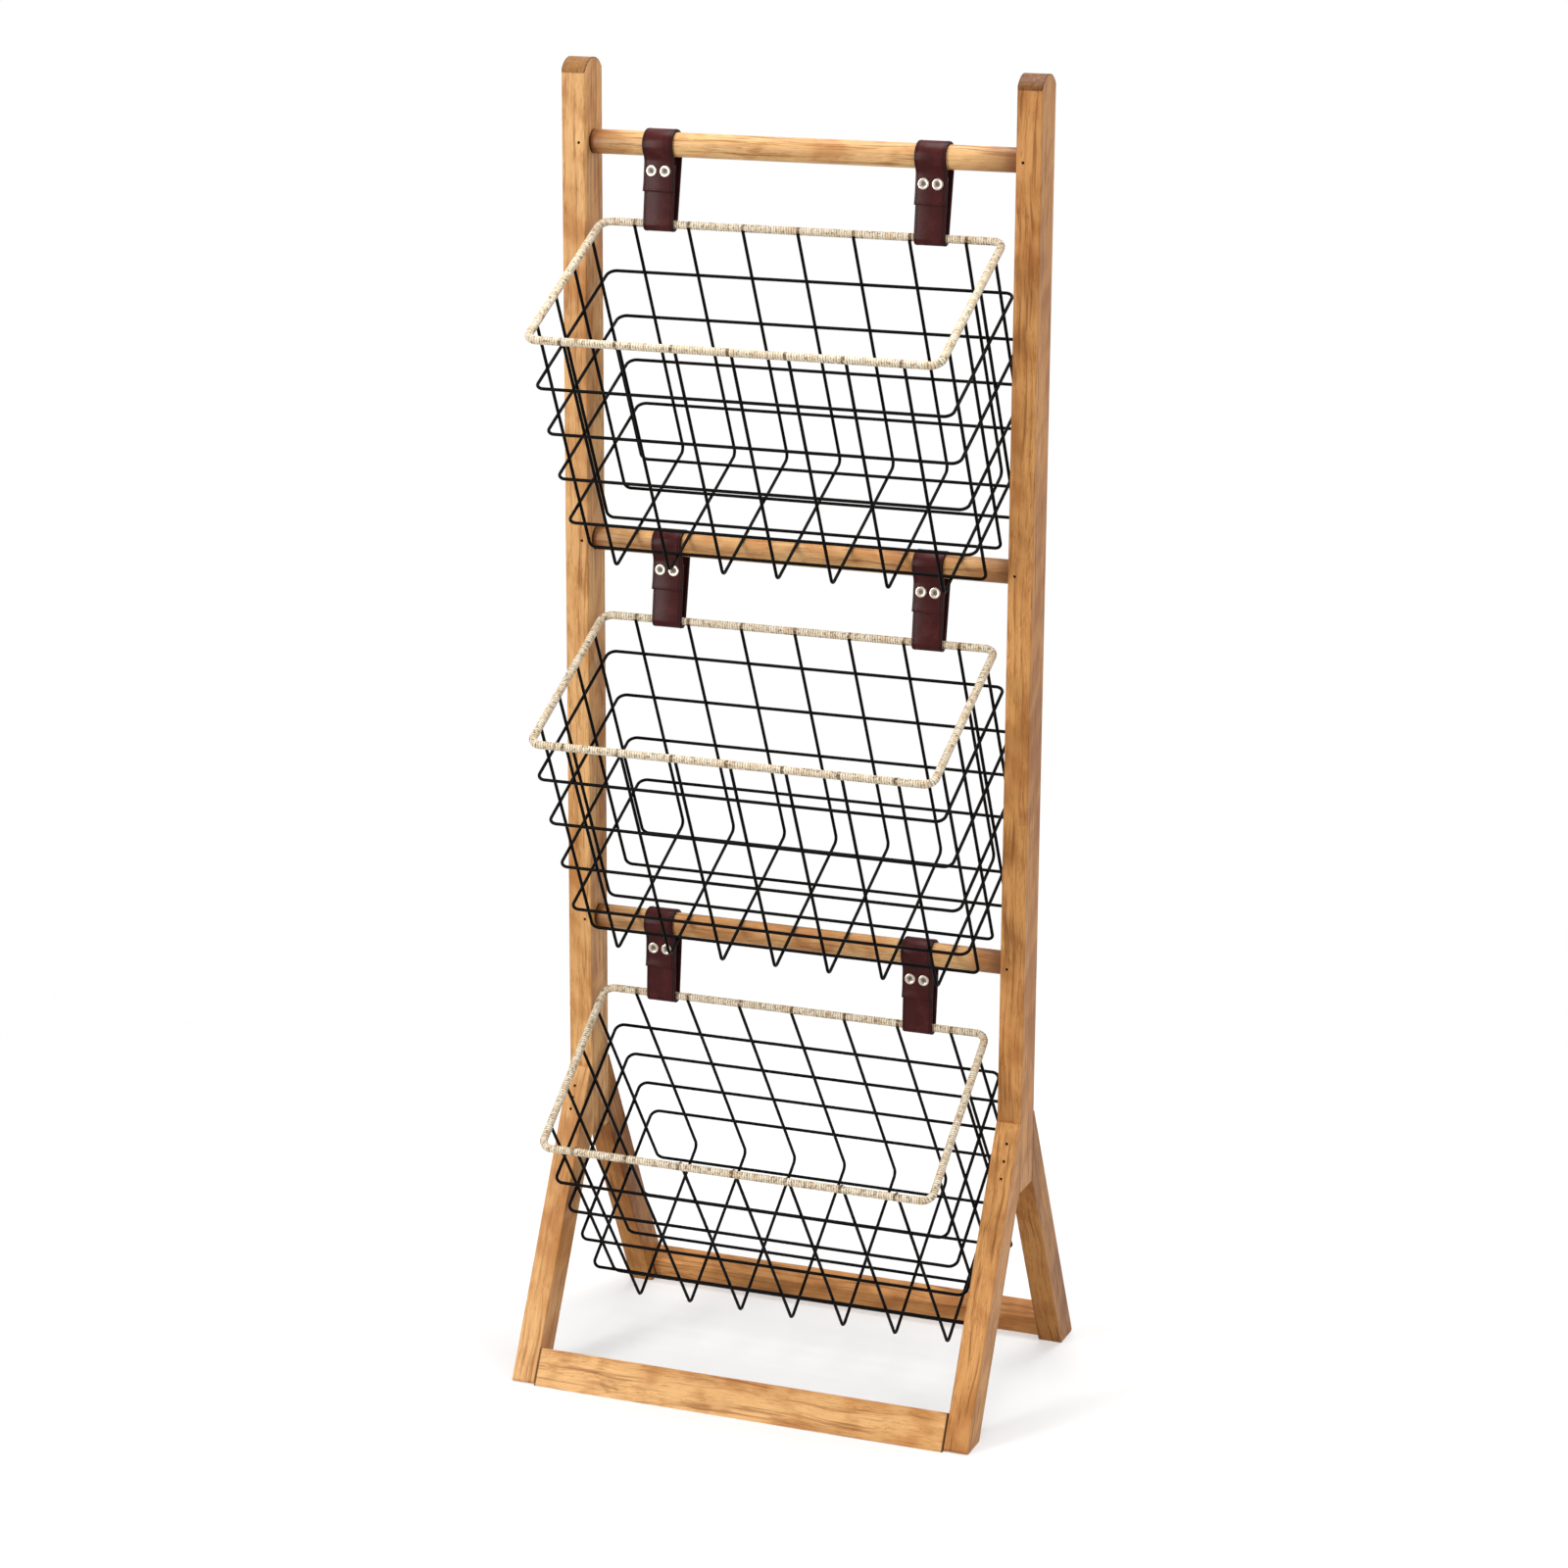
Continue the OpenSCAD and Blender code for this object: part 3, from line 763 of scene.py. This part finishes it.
# The brad heads are painted dark brown: painted shade of the holes that they are sunk in
BRAD_STEEL = Finish(
    "brad_in_painted_shade", Smudge(),
    {"Clean": srgb(30, 17, 10), "Marked": srgb(18, 10, 6), "Smooth": 0.6, "Rough": 0.8},
    specular=0.04, bump=0.1,
)


def dress(node: str, material: bpy.types.Material) -> None:
    """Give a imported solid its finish.

    Args:
        node: Name of the solid.
        material: Its new material.
    """
    mesh = frame["nodes"][node].data
    mesh.materials.clear()
    mesh.materials.append(material)
    for face in mesh.polygons:
        face.material_index = 0
    log.info("dressed %s in %s", node, material.name)


def mesh_of(bm: BMesh, name: str) -> Mesh:
    """Turn a finished bmesh into a mesh.

    Args:
        bm: The bmesh, which is freed.
        name: Name of the mesh.

    Returns:
        The mesh.
    """
    mesh = bpy.data.meshes.new(name)
    bm.to_mesh(mesh)
    bm.free()
    return mesh


def map_smooth(bm: BMesh, name: str, place: Callable[[Any], Any]) -> None:
    """Smooth a mesh and lay a map on it.

    Args:
        bm: The bmesh.
        name: Name of the map.
        place: Gives a vertex's two places on the map.
    """
    uv = bm.loops.layers.uv.new(name)
    for face in bm.faces:
        face.smooth = True
        for loop in face.loops:
            loop[uv].uv = place(loop.vert)


def add_piece(name: str, mesh: Mesh, body: str,
              material: bpy.types.Material) -> bpy.types.Object:
    """Add a modelled piece to the scene and to its body.

    Args:
        name: Name of the piece.
        mesh: Its mesh, in place.
        body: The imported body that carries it.
        material: Its material.

    Returns:
        The new object.
    """
    mesh.materials.clear()
    mesh.materials.append(material)
    piece = bpy.data.objects.new(name, mesh)
    bpy.context.collection.objects.link(piece)
    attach(piece, body)
    log.info("built %s with %d faces", name, len(mesh.polygons))
    return piece


# Stand


LEG_SPLAY = math.radians(27)


class Grain(Enum):
    """The way that a piece's grain runs, as the turn that brings it upright."""

    UPRIGHT = Euler()
    ACROSS = Euler((0.0, QUARTER, 0.0))
    FRONT_LEG = Euler((LEG_SPLAY, 0.0, 0.0))
    REAR_LEG = Euler((-LEG_SPLAY, 0.0, 0.0))


@dataclass
class Stand:
    """The wooden stand: how each piece's grain runs, where it was sawn and its finish."""

    pith: float = 42 * MM
    sawn_turn: float = math.radians(67)
    sawn_slip: float = 0.37
    arch_rise: float = 12 * MM
    # Sets where the painted shadow line at each rail's end lies
    rail_gap: float = 0.6 * MM
    # Strength of the painted shade towards a rung's ends
    painted_joint_shade: float = 0.65
    # The darker copies of the pine on the right, on the rear rail and on the rear legs are
    # painted shade
    boards: dict[str, tuple[Grain, Finish]] = field(default_factory=lambda: {
        "left_post": (Grain.UPRIGHT, PINE),
        "right_post": (Grain.UPRIGHT, SHADED_PINE),
        "front_left_leg": (Grain.FRONT_LEG, PINE),
        "front_right_leg": (Grain.FRONT_LEG, SHADED_PINE),
        "rear_left_leg": (Grain.REAR_LEG, REAR_PINE),
        "rear_right_leg": (Grain.REAR_LEG, REAR_PINE),
        "front_rail": (Grain.ACROSS, PINE),
        "rear_rail": (Grain.ACROSS, SHADED_PINE),
    })
    rods: tuple[str, ...] = (
        "upper_rung", "middle_rung", "lower_rung", "front_rail_dowels", "rear_rail_dowels",
    )
    brads: tuple[str, ...] = ("rung_brads", "front_leg_brads", "rear_leg_brads")

    def shift(self, node: str, grain: Grain, number: int) -> Vector:
        """Work out where a board was sawn from the tree, so that no two look alike.

        Args:
            node: Name of the board.
            grain: The way its grain runs.
            number: Its place in the list.

        Returns:
            The shift of the turned pattern.
        """
        low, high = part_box(node)
        middle = (low + high) / 2
        middle.rotate(grain.value)
        sawn = flat(self.sawn_turn * number) * self.pith
        return sawn + Vector((0, 0, self.sawn_slip * number)) - middle

    def arch(self, node: str) -> Values:
        """Work out the arch of a post's top from its box.

        Args:
            node: Name of the post.

        Returns:
            The values that tell the wood where its end grain shows.
        """
        low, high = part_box(node)
        half = (high.y - low.y) / 2
        radius = (half**2 + self.arch_rise**2) / (2 * self.arch_rise)
        return {
            "Arch X": (low.x + high.x) / 2,
            "Arch Half": (high.x - low.x) / 2,
            "Arch Y": low.y + half,
            "Arch Z": high.z - radius,
            "Arch Radius": radius,
        }

    def build(self) -> None:
        """Dress every piece of the stand."""
        for number, (node, (grain, finish)) in enumerate(self.boards.items(), 1):
            extra: Values = {}
            if grain is Grain.UPRIGHT:
                extra = self.arch(node)
            elif grain is Grain.ACROSS:
                extra = {"Joint X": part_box(node)[1].x + self.rail_gap}
            shift = self.shift(node, grain, number)
            dress(node, finish.material(node, extra, grain.value, shift))
        joint = {"Joint X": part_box("right_post")[0].x, "Painted Joint Shade": self.painted_joint_shade}
        for number, node in enumerate(self.rods, 1):
            shift = self.shift(node, Grain.ACROSS, number)
            dress(node, DOWEL_PINE.material(node, joint, Grain.ACROSS.value, shift))
        for node in self.brads:
            dress(node, BRAD_STEEL.material())


# Straps


@dataclass
class Station:
    """A place along a band: its middle, the angle that it heads at, and how far along it is."""

    place: Vector
    heading: float
    along: float


class Band:
    """A strip of leather drawn along a path in the plane of y and z."""

    edge_steps = 3

    def __init__(self, width: float, thick: float, ease: float, start: Vector,
                 heading: float) -> None:
        """Start a band with its rounded end section.

        Args:
            width: Width along x.
            thick: Thickness.
            ease: Radius of its long edges.
            start: Middle of its end.
            heading: Angle of the path there, from +y towards +z.
        """
        self.bm = bmesh.new()
        self.width = width
        self.along_layer = self.bm.verts.layers.float.new("along")
        bmesh.ops.create_grid(self.bm, x_segments=1, y_segments=1, size=0.5)
        bmesh.ops.scale(self.bm, vec=(width, thick, 1), verts=self.bm.verts)
        bmesh.ops.bevel(
            self.bm, geom=list(self.bm.verts), offset=ease, segments=self.edge_steps,
            profile=0.5, affect="VERTICES", material=-1,
        )
        turn = Matrix.Rotation(heading - QUARTER, 3, "X")
        bmesh.ops.rotate(self.bm, verts=self.bm.verts, matrix=turn)
        bmesh.ops.translate(self.bm, verts=self.bm.verts, vec=start)
        self.ring = list(self.bm.edges)
        self.stations = [Station(start.copy(), heading, 0.0)]

    def step(self, length: float) -> list[bmesh.types.BMVert]:
        """Extrude the end section once, in place.

        Args:
            length: How far along the new section will be from the last.

        Returns:
            The new section's vertices, still to be moved.
        """
        made = bmesh.ops.extrude_edge_only(self.bm, edges=self.ring)["geom"]
        verts = [part for part in made if isinstance(part, bmesh.types.BMVert)]
        fresh = set(verts)
        self.ring = [
            part for part in made
            if isinstance(part, bmesh.types.BMEdge) and all(v in fresh for v in part.verts)
        ]
        along = self.stations[-1].along + length
        for vert in verts:
            vert[self.along_layer] = along
        return verts

    def forward(self, length: float, steps: int) -> None:
        """Go straight on.

        Args:
            length: How far.
            steps: In how many sections.
        """
        pace = length / steps
        for _ in range(steps):
            last = self.stations[-1]
            move = upright(last.heading) * pace
            bmesh.ops.translate(self.bm, verts=self.step(pace), vec=move)
            self.stations.append(Station(last.place + move, last.heading, last.along + pace))

    def bend(self, radius: float, angle: float, steps: int) -> None:
        """Turn about a centre to the left of the path, or to its right for a negative angle.

        Args:
            radius: Radius of the path.
            angle: Angle turned through.
            steps: In how many sections.
        """
        first = self.stations[-1]
        side = first.heading + math.copysign(QUARTER, angle)
        centre = first.place + radius * upright(side)
        turn = Matrix.Rotation(angle / steps, 3, "X")
        length = radius * abs(angle) / steps
        for _ in range(steps):
            last = self.stations[-1]
            bmesh.ops.rotate(self.bm, verts=self.step(length), cent=centre, matrix=turn)
            place = centre + turn @ (last.place - centre)
            self.stations.append(
                Station(place, last.heading + angle / steps, last.along + length)
            )

    def close(self) -> Mesh:
        """Close the last end, map the surface and give the mesh.

        Returns:
            The finished mesh, smooth but for its ends.
        """
        bmesh.ops.contextual_create(self.bm, geom=self.ring)
        bmesh.ops.recalc_face_normals(self.bm, faces=list(self.bm.faces))
        map_smooth(self.bm, "strap_map",
                   lambda vert: (vert.co.x / self.width + 0.5, vert[self.along_layer]))
        for face in self.bm.faces:
            face.smooth = len(face.verts) == 4
        return mesh_of(self.bm, "band")

    def at(self, along: float) -> Station:
        """Find a place along the band between its stations.

        Args:
            along: How far along.

        Returns:
            The place there.
        """
        for last, following in zip(self.stations, self.stations[1:]):
            if following.along >= along:
                share = (along - last.along) / (following.along - last.along)
                return Station(
                    last.place.lerp(following.place, share),
                    last.heading + (following.heading - last.heading) * share,
                    along,
                )
        return self.stations[-1]


@dataclass
class StrapMaker:
    """One strap as it hangs from a rung, with the sizes that its solid has."""

    drop: float
    width: float
    rung_radius: float = 11 * MM
    rim_radius: float = 3.75 * MM
    rest: float = 0.3 * MM
    thick: float = 2.5 * MM
    ease: float = 0.75 * MM
    waist: float = 1.5 * MM
    tuck: float = 18 * MM
    flap: float = 42.5 * MM
    flap_bend: float = 12 * MM
    lift: float = math.radians(7)
    lift_start: float = 11 * MM
    stitch_pitch: float = 3.4 * MM
    stitch_inset: float = 2.3 * MM
    stitch_size: tuple[float, float, float] = (0.32 * MM, 1.15 * MM, 0.30 * MM)

    @property
    def front(self) -> float:
        """Lean of the band's front run from the line between rung and rim."""
        return math.asin((self.waist - self.rim_radius - self.rest) / self.drop)

    def band(self) -> Band:
        """Draw the band from its hidden end to the end of its flap.

        Returns:
            The open band.
        """
        half = self.thick / 2
        over_rung = self.rung_radius + self.rest + half
        under_rim = self.rim_radius + self.rest + half
        back = math.asin((over_rung - under_rim) / self.drop)
        front = self.front
        heading = 3 * QUARTER + front
        out, down = -upright(front), upright(heading)
        band = Band(
            self.width, self.thick, self.ease,
            out * (self.waist + half) + down * self.tuck, heading,
        )
        band.forward(self.drop * math.cos(front) - self.tuck, steps=8)
        band.bend(under_rim, math.pi - back - front, steps=14)
        band.forward(self.drop * math.cos(back), steps=10)
        lapped = self.waist + half + self.thick + self.rest
        bend_out = lapped + half + self.flap_bend
        reach = over_rung + half + self.flap_bend
        bend_down = math.sqrt(reach**2 - bend_out**2)
        bend_at = out * bend_out + down * bend_down
        leave = math.atan2(bend_at.z, bend_at.y) % math.tau
        band.bend(over_rung, leave + back, steps=24)
        band.bend(self.flap_bend + half, front - (leave - math.pi), steps=8)
        band.forward(self.flap - bend_down - self.lift_start, steps=5)
        band.bend(self.lift_start / 2 / self.lift, -self.lift, steps=4)
        band.forward(self.lift_start / 2, steps=3)
        return band

    def stitches(self, band: Band) -> Mesh:
        """Sew along both edges of the band and across the end of its flap.

        Args:
            band: The band to sew.

        Returns:
            The stitches, as one mesh.
        """
        bm = bmesh.new()
        total = band.stations[-1].along
        count = int((total - 2 * self.stitch_inset) / self.stitch_pitch)
        side = self.width / 2 - self.stitch_inset
        for i in range(count + 1):
            along = self.stitch_inset + (total - 2 * self.stitch_inset) * i / count
            for x in (-side, side):
                self.stitch(bm, band.at(along), x, lengthwise=True)
        across = int(2 * side / self.stitch_pitch)
        for i in range(1, across):
            x = -side + 2 * side * i / across
            self.stitch(bm, band.at(total - self.stitch_inset), x, lengthwise=False)
        for face in bm.faces:
            face.smooth = True
        return mesh_of(bm, "stitches")

    def stitch(self, bm: BMesh, at: Station, x: float, lengthwise: bool) -> None:
        """Sink one stitch into the outer face of the leather.

        Args:
            bm: Where it goes.
            at: Its place along the band.
            x: Its place across the band.
            lengthwise: Whether it runs along the band, and not across it.
        """
        outward = at.heading - QUARTER
        place = at.place + self.thick / 2 * upright(outward)
        place.x = x
        turn = Matrix.Rotation(outward, 4, "X")
        if not lengthwise:
            turn = turn @ Matrix.Rotation(QUARTER, 4, "Y")
        wide, long, deep = self.stitch_size
        size = Matrix.Diagonal((wide, deep, long, 1))
        bmesh.ops.create_uvsphere(
            bm, u_segments=8, v_segments=5, radius=1,
            matrix=Matrix.Translation(place) @ turn @ size,
        )


@dataclass
class CapMaker:
    """The two press-stud caps on a strap's flap: domed rings with a sunk middle."""

    radius: float = 5.5 * MM
    lip: float = 0.2 * MM
    height: float = 0.9 * MM
    edge: float = 0.5 * MM
    dish_radius: float = 2.6 * MM
    dish_height: float = 0.8 * MM
    dish_sink: float = 0.35 * MM
    dish_flat: float = 0.8
    dish_hollow: float = 1.3
    pitch: float = 13.2 * MM
    down: float = 24 * MM
    out: float = 6.8 * MM
    weld: float = 0.005 * MM
    rings: int = 10
    steps: int = 40

    def profile(self) -> list[Vector]:
        """Draw half of a cap's section, from under its edge to its middle.

        Returns:
            The section's points, out on x and up on z.
        """
        half = (self.radius - self.dish_radius) / 2
        points = [Vector((self.radius - self.lip, 0, -self.lip)), Vector((self.radius, 0, 0))]
        for i in range(self.rings + 1):
            share = i / self.rings
            points.append(Vector((
                self.dish_radius + half * (1 + math.cos(math.pi * share)),
                0,
                max(self.edge, self.dish_height * share)
                + self.height * math.sin(math.pi * share),
            )))
        floor = self.dish_height - self.dish_sink
        points.append(Vector((self.dish_radius * self.dish_flat, 0, floor)))
        points.append(Vector((0, 0, self.dish_height - self.dish_sink * self.dish_hollow)))
        return points

    def add(self, bm: BMesh, strap: Matrix, front: float) -> None:
        """Turn both caps of a strap.

        Args:
            bm: Where they go.
            strap: The transform from the strap's own frame.
            front: Lean of the strap's front run.
        """
        outward, downward = -upright(front), upright(3 * QUARTER + front)
        turn = Matrix.Rotation(QUARTER + front, 4, "X")
        layer = bm.verts.layers.float.get("share") or bm.verts.layers.float.new("share")
        for side in (-0.5, 0.5):
            place = outward * self.out + downward * self.down + Vector((side * self.pitch, 0, 0))
            line = [bm.verts.new(point) for point in self.profile()]
            for vert in line:
                vert[layer] = vert.co.x / self.radius
            edges = [bm.edges.new(pair) for pair in zip(line, line[1:])]
            before = set(bm.verts) - set(line)
            bmesh.ops.spin(
                bm, geom=line + edges, cent=(0, 0, 0), axis=(0, 0, 1), angle=math.tau,
                steps=self.steps, use_merge=True, use_duplicate=False,
            )
            made = [vert for vert in bm.verts if vert not in before]
            bmesh.ops.remove_doubles(bm, verts=made, dist=self.weld)
            made = [vert for vert in bm.verts if vert not in before]
            bmesh.ops.transform(
                bm, matrix=strap @ Matrix.Translation(place) @ turn, verts=made
            )

    def finish(self, bm: BMesh) -> Mesh:
        """Smooth and map the caps.

        Args:
            bm: All caps, in place.

        Returns:
            Their mesh.
        """
        bmesh.ops.recalc_face_normals(bm, faces=list(bm.faces))
        layer = bm.verts.layers.float["share"]
        map_smooth(bm, "cap_map", lambda vert: (vert[layer], 0.5))
        return mesh_of(bm, "caps")


@dataclass
class Winding:
    """Cord wound round a rounded rectangle of rod, flat in the plane of x and y."""

    length: float
    depth: float
    corner: float = 10 * MM
    radius: float = 3.72 * MM
    pitch: float = 2.4 * MM
    groove: float = 0.45 * MM
    uneven: float = 0.1 * MM
    slack_step: float = 0.71
    slack_start: float = 3.1
    weld: float = 0.01 * MM
    steps_a_turn: int = 5
    sides: int = 14

    def runs(self) -> list[tuple[Vector, float, float]]:
        """List the rectangle's runs and corners, from its front side onwards.

        Returns:
            The start, the heading and the length of each, corners having a length below zero.
        """
        x, y = self.length / 2, self.depth / 2
        runs = []
        for number in range(4):
            heading = number * QUARTER
            ahead, aside = (y, x) if number % 2 else (x, y)
            straight = ahead - self.corner
            start = flat(heading - QUARTER) * aside - flat(heading) * straight
            runs.append((start, heading, 2 * straight))
            runs.append((start + flat(heading) * 2 * straight, heading, -self.corner * QUARTER))
        return runs

    def at(self, runs: list[tuple[Vector, float, float]], far: float) -> tuple[Vector, Vector]:
        """Find a place along the rod.

        Args:
            runs: The runs and corners.
            far: How far along it is.

        Returns:
            The place, and the direction outwards from the rectangle there.
        """
        for start, heading, length in runs:
            if far <= abs(length) or (start, heading, length) == runs[-1]:
                break
            far -= abs(length)
        side = heading - QUARTER
        if length > 0:
            return start + flat(heading) * far, flat(side)
        out = flat(side + far / self.corner)
        return start + (out - flat(side)) * self.corner, out

    def mesh(self) -> Mesh:
        """Wind the cord.

        Returns:
            The mesh, with its map of turns and share around.
        """
        runs = self.runs()
        whole = sum(abs(length) for _, _, length in runs)
        turns = round(whole / self.pitch)
        bm = bmesh.new()
        bmesh.ops.create_grid(
            bm, x_segments=turns * self.steps_a_turn, y_segments=self.sides, size=0.5
        )
        map_smooth(bm, "cord_map",
                   lambda vert: ((vert.co.x + 0.5) * turns, vert.co.y + 0.5))
        for vert in bm.verts:
            share, around = vert.co.x + 0.5, vert.co.y + 0.5
            place, out = self.at(runs, share * whole)
            turn = share * turns + around
            within = turn % 1
            strand = math.sqrt(max(0.0, 1 - (2 * within - 1) ** 2))
            number = math.floor(turn) % turns
            slack = noise.noise(Vector((number * self.slack_step, self.slack_start, 0)))
            radius = self.radius - self.groove * (1 - strand) + self.uneven * (slack - 0.5)
            angle = around * math.tau
            vert.co = place + radius * (
                out * math.cos(angle) + Vector((0, 0, 1)) * math.sin(angle)
            )
        bmesh.ops.remove_doubles(bm, verts=list(bm.verts), dist=self.weld)
        bmesh.ops.recalc_face_normals(bm, faces=list(bm.faces))
        return mesh_of(bm, "winding")


# Tiers


@dataclass
class Tier:
    """One basket with its straps, studs and rim, placed where its joints are."""

    name: str
    rod: float = 5 * MM
    wire: float = 3 * MM
    long_wires: int = 7

    @property
    def rung(self) -> Vector:
        """A point on the rung's axis, which the straps swing about."""
        return joint_place(f"{self.name}_strap_swing")

    @property
    def rim(self) -> Vector:
        """A point on the rear rim's axis, which the basket tilts about."""
        return joint_place(f"{self.name}_basket_tilt")

    def build_straps(self) -> None:
        """Make both straps with their stitching and their studs' caps."""
        rung, hang = self.rung, self.rim - self.rung
        lean = Matrix.Rotation(math.atan2(hang.y, -hang.z), 4, "X")
        body = f"{self.name}_straps"
        caps = CapMaker()
        turned = bmesh.new()
        for side in ("left", "right"):
            node = f"{self.name}_{side}_strap"
            low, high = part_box(node)
            maker = StrapMaker(hang.length, high.x - low.x)
            band = maker.band()
            sewn = maker.stitches(band)
            leather = band.close()
            middle = Vector(((low.x + high.x) / 2, rung.y, rung.z))
            place = Matrix.Translation(middle) @ lean
            for mesh in (leather, sewn):
                mesh.transform(place)
            strap = add_piece(f"{node}_leather", leather, body,
                              OXBLOOD.material())
            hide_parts(node)
            add_piece(f"{node}_stitching", sewn, body, THREAD.material())
            caps.add(turned, place, maker.front)
        domes = add_piece(f"{self.name}_domed_caps", caps.finish(turned), body,
                          CAP_METAL.material())
        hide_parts(f"{self.name}_stud_caps")

    def build_rim(self) -> None:
        """Wind the cord round the rim."""
        low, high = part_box(f"{self.name}_rim_rod")
        deep = high.y - low.y - self.rod
        fall = high.z - low.z - self.rod
        winding = Winding(high.x - low.x - self.rod, math.hypot(deep, fall))
        mesh = winding.mesh()
        mesh.transform(
            Matrix.Translation(Vector(((low.x + high.x) / 2, self.rim.y, self.rim.z)))
            @ Matrix.Rotation(math.atan2(fall, deep), 4, "X")
            @ Matrix.Translation((0, -winding.depth / 2, 0))
        )
        left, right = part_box(f"{self.name}_long_wires")
        wires = {"Wire X": (left.x + right.x) / 2,
                 "Wire Pitch": (right.x - left.x - self.wire) / (self.long_wires - 1)}
        cord = add_piece(f"{self.name}_rim_winding", mesh, f"{self.name}_basket",
                         CORD.material(self.name, wires))
        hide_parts(f"{self.name}_rim_wrap")

    def build(self) -> None:
        """Make the tier's pieces and dress its solids."""
        self.build_straps()
        self.build_rim()
        for part in ("rim_rod", "hoops", "long_wires", "cross_wires"):
            dress(f"{self.name}_{part}", BLACK_WIRE.material())
        dress(f"{self.name}_stud_posts", NICKEL.material())


# Studio


@dataclass
class Viewpoint:
    """The camera, at the photograph's place and angle."""

    place: Vector = field(default_factory=lambda: Vector((1.28227, -3.33645, 1.51415)))
    yaw: float = math.radians(21.2082)
    pitch: float = math.radians(-14.8326)
    roll: float = math.radians(0.2949)
    lens: float = 92.392
    sensor: float = 36.0
    sight: float = 50.0

    def build(self) -> None:
        """Add the camera and look through it."""
        data = bpy.data.cameras.new("camera")
        data.lens = self.lens
        data.sensor_width = self.sensor
        data.clip_end = self.sight
        camera = bpy.data.objects.new("camera", data)
        camera.matrix_world = (
            Matrix.Translation(self.place)
            @ Matrix.Rotation(self.yaw, 4, "Z")
            @ Matrix.Rotation(QUARTER + self.pitch, 4, "X")
            @ Matrix.Rotation(self.roll, 4, "Z")
        )
        bpy.context.collection.objects.link(camera)
        bpy.context.scene.camera = camera


@dataclass(frozen=True)
class Lamp:
    """One soft studio lamp, aimed at the middle of the rack."""

    name: str
    place: tuple[float, float, float]
    wide: float
    tall: float
    power: float
    aim: tuple[float, float, float] = (0.0, 0.0, 0.62)

    def build(self) -> None:
        """Add the lamp."""
        data = bpy.data.lights.new(self.name, "AREA")
        data.shape = "RECTANGLE"
        data.size = self.wide
        data.size_y = self.tall
        data.energy = self.power
        lamp = bpy.data.objects.new(self.name, data)
        towards = Vector(self.aim) - Vector(self.place)
        lamp.rotation_euler = towards.to_track_quat("-Z", "Y").to_euler()
        lamp.location = self.place
        bpy.context.collection.objects.link(lamp)


@dataclass
class Studio:
    """A pale floor that fades into a white background, under soft lamps."""

    floor_radius: float = 3.0
    fade_start: float = 0.75
    fade_end: float = 1.7
    floor_clear: float = 0.45
    floor_colour: Colour = srgb(250, 250, 250)
    floor_rough: float = 0.9
    floor_specular: float = 0.1
    ambient: float = 0.27
    lamps: tuple[Lamp, ...] = (
        Lamp("key_lamp", (-1.25, -1.85, 1.25), 0.5, 1.9, 34.0),
        Lamp("fill_lamp", (1.5, -0.8, 1.1), 0.5, 1.9, 10.0),
        Lamp("top_lamp", (0.0, 0.2, 3.4), 1.8, 1.8, 84.0),
        Lamp("back_lamp", (0.9, 2.8, 2.2), 1.4, 1.4, 16.0),
    )

    def build_floor(self) -> None:
        """Lay the floor."""
        bm = bmesh.new()
        bmesh.ops.create_circle(bm, cap_ends=True, segments=96, radius=self.floor_radius)
        mesh = mesh_of(bm, "floor")
        floor = bpy.data.objects.new("floor", mesh)
        bpy.context.collection.objects.link(floor)
        material = bpy.data.materials.new("pale_floor")
        material.use_nodes = True
        nodes = Nodes(material.node_tree)
        place = nodes.add("ShaderNodeTexCoord", {}).outputs["Object"]
        far = nodes.add("ShaderNodeVectorMath", {0: place}, operation="LENGTH").outputs[1]
        fade = nodes.spread(far, self.fade_start, self.fade_end, self.floor_clear, 1.0)
        ground = nodes.add(
            "ShaderNodeBsdfPrincipled",
            {"Base Color": self.floor_colour, "Roughness": self.floor_rough,
             "Specular IOR Level": self.floor_specular},
        )
        clear = nodes.add("ShaderNodeBsdfTransparent", {})
        mixed = nodes.add(
            "ShaderNodeMixShader", {0: fade, 1: ground.outputs[0], 2: clear.outputs[0]}
        )
        nodes.add("ShaderNodeOutputMaterial", {"Surface": mixed.outputs[0]})
        mesh.materials.append(material)

    def build_world(self) -> None:
        """Light the room evenly, and show white to the camera, to metal and through glass."""
        world = bpy.data.worlds.new("studio")
        bpy.context.scene.world = world
        world.use_nodes = True
        nodes = Nodes(world.node_tree)
        path = nodes.add("ShaderNodeLightPath", {})
        seen = nodes.math(
            "MAXIMUM",
            nodes.math("MAXIMUM", path.outputs["Is Camera Ray"], path.outputs["Is Glossy Ray"]),
            path.outputs["Is Transmission Ray"],
        )
        strength = nodes.math("MULTIPLY_ADD", seen, 1 - self.ambient, self.ambient)
        sky = nodes.add("ShaderNodeBackground", {"Color": (1, 1, 1, 1), "Strength": strength})
        nodes.add("ShaderNodeOutputWorld", {"Surface": sky.outputs[0]})

    def build(self) -> None:
        """Set up the floor, the lamps and the plain view of colour."""
        self.build_floor()
        self.build_world()
        for lamp in self.lamps:
            lamp.build()
        bpy.context.scene.view_settings.view_transform = "Standard"


def main() -> None:
    """Build the studio, the stand and the three tiers."""
    logging.basicConfig(level=logging.INFO, format="%(name)s: %(message)s")
    Viewpoint().build()
    Studio().build()
    Stand().build()
    for name in ("upper", "middle", "lower"):
        Tier(name).build()


if __name__ == "__main__":
    main()
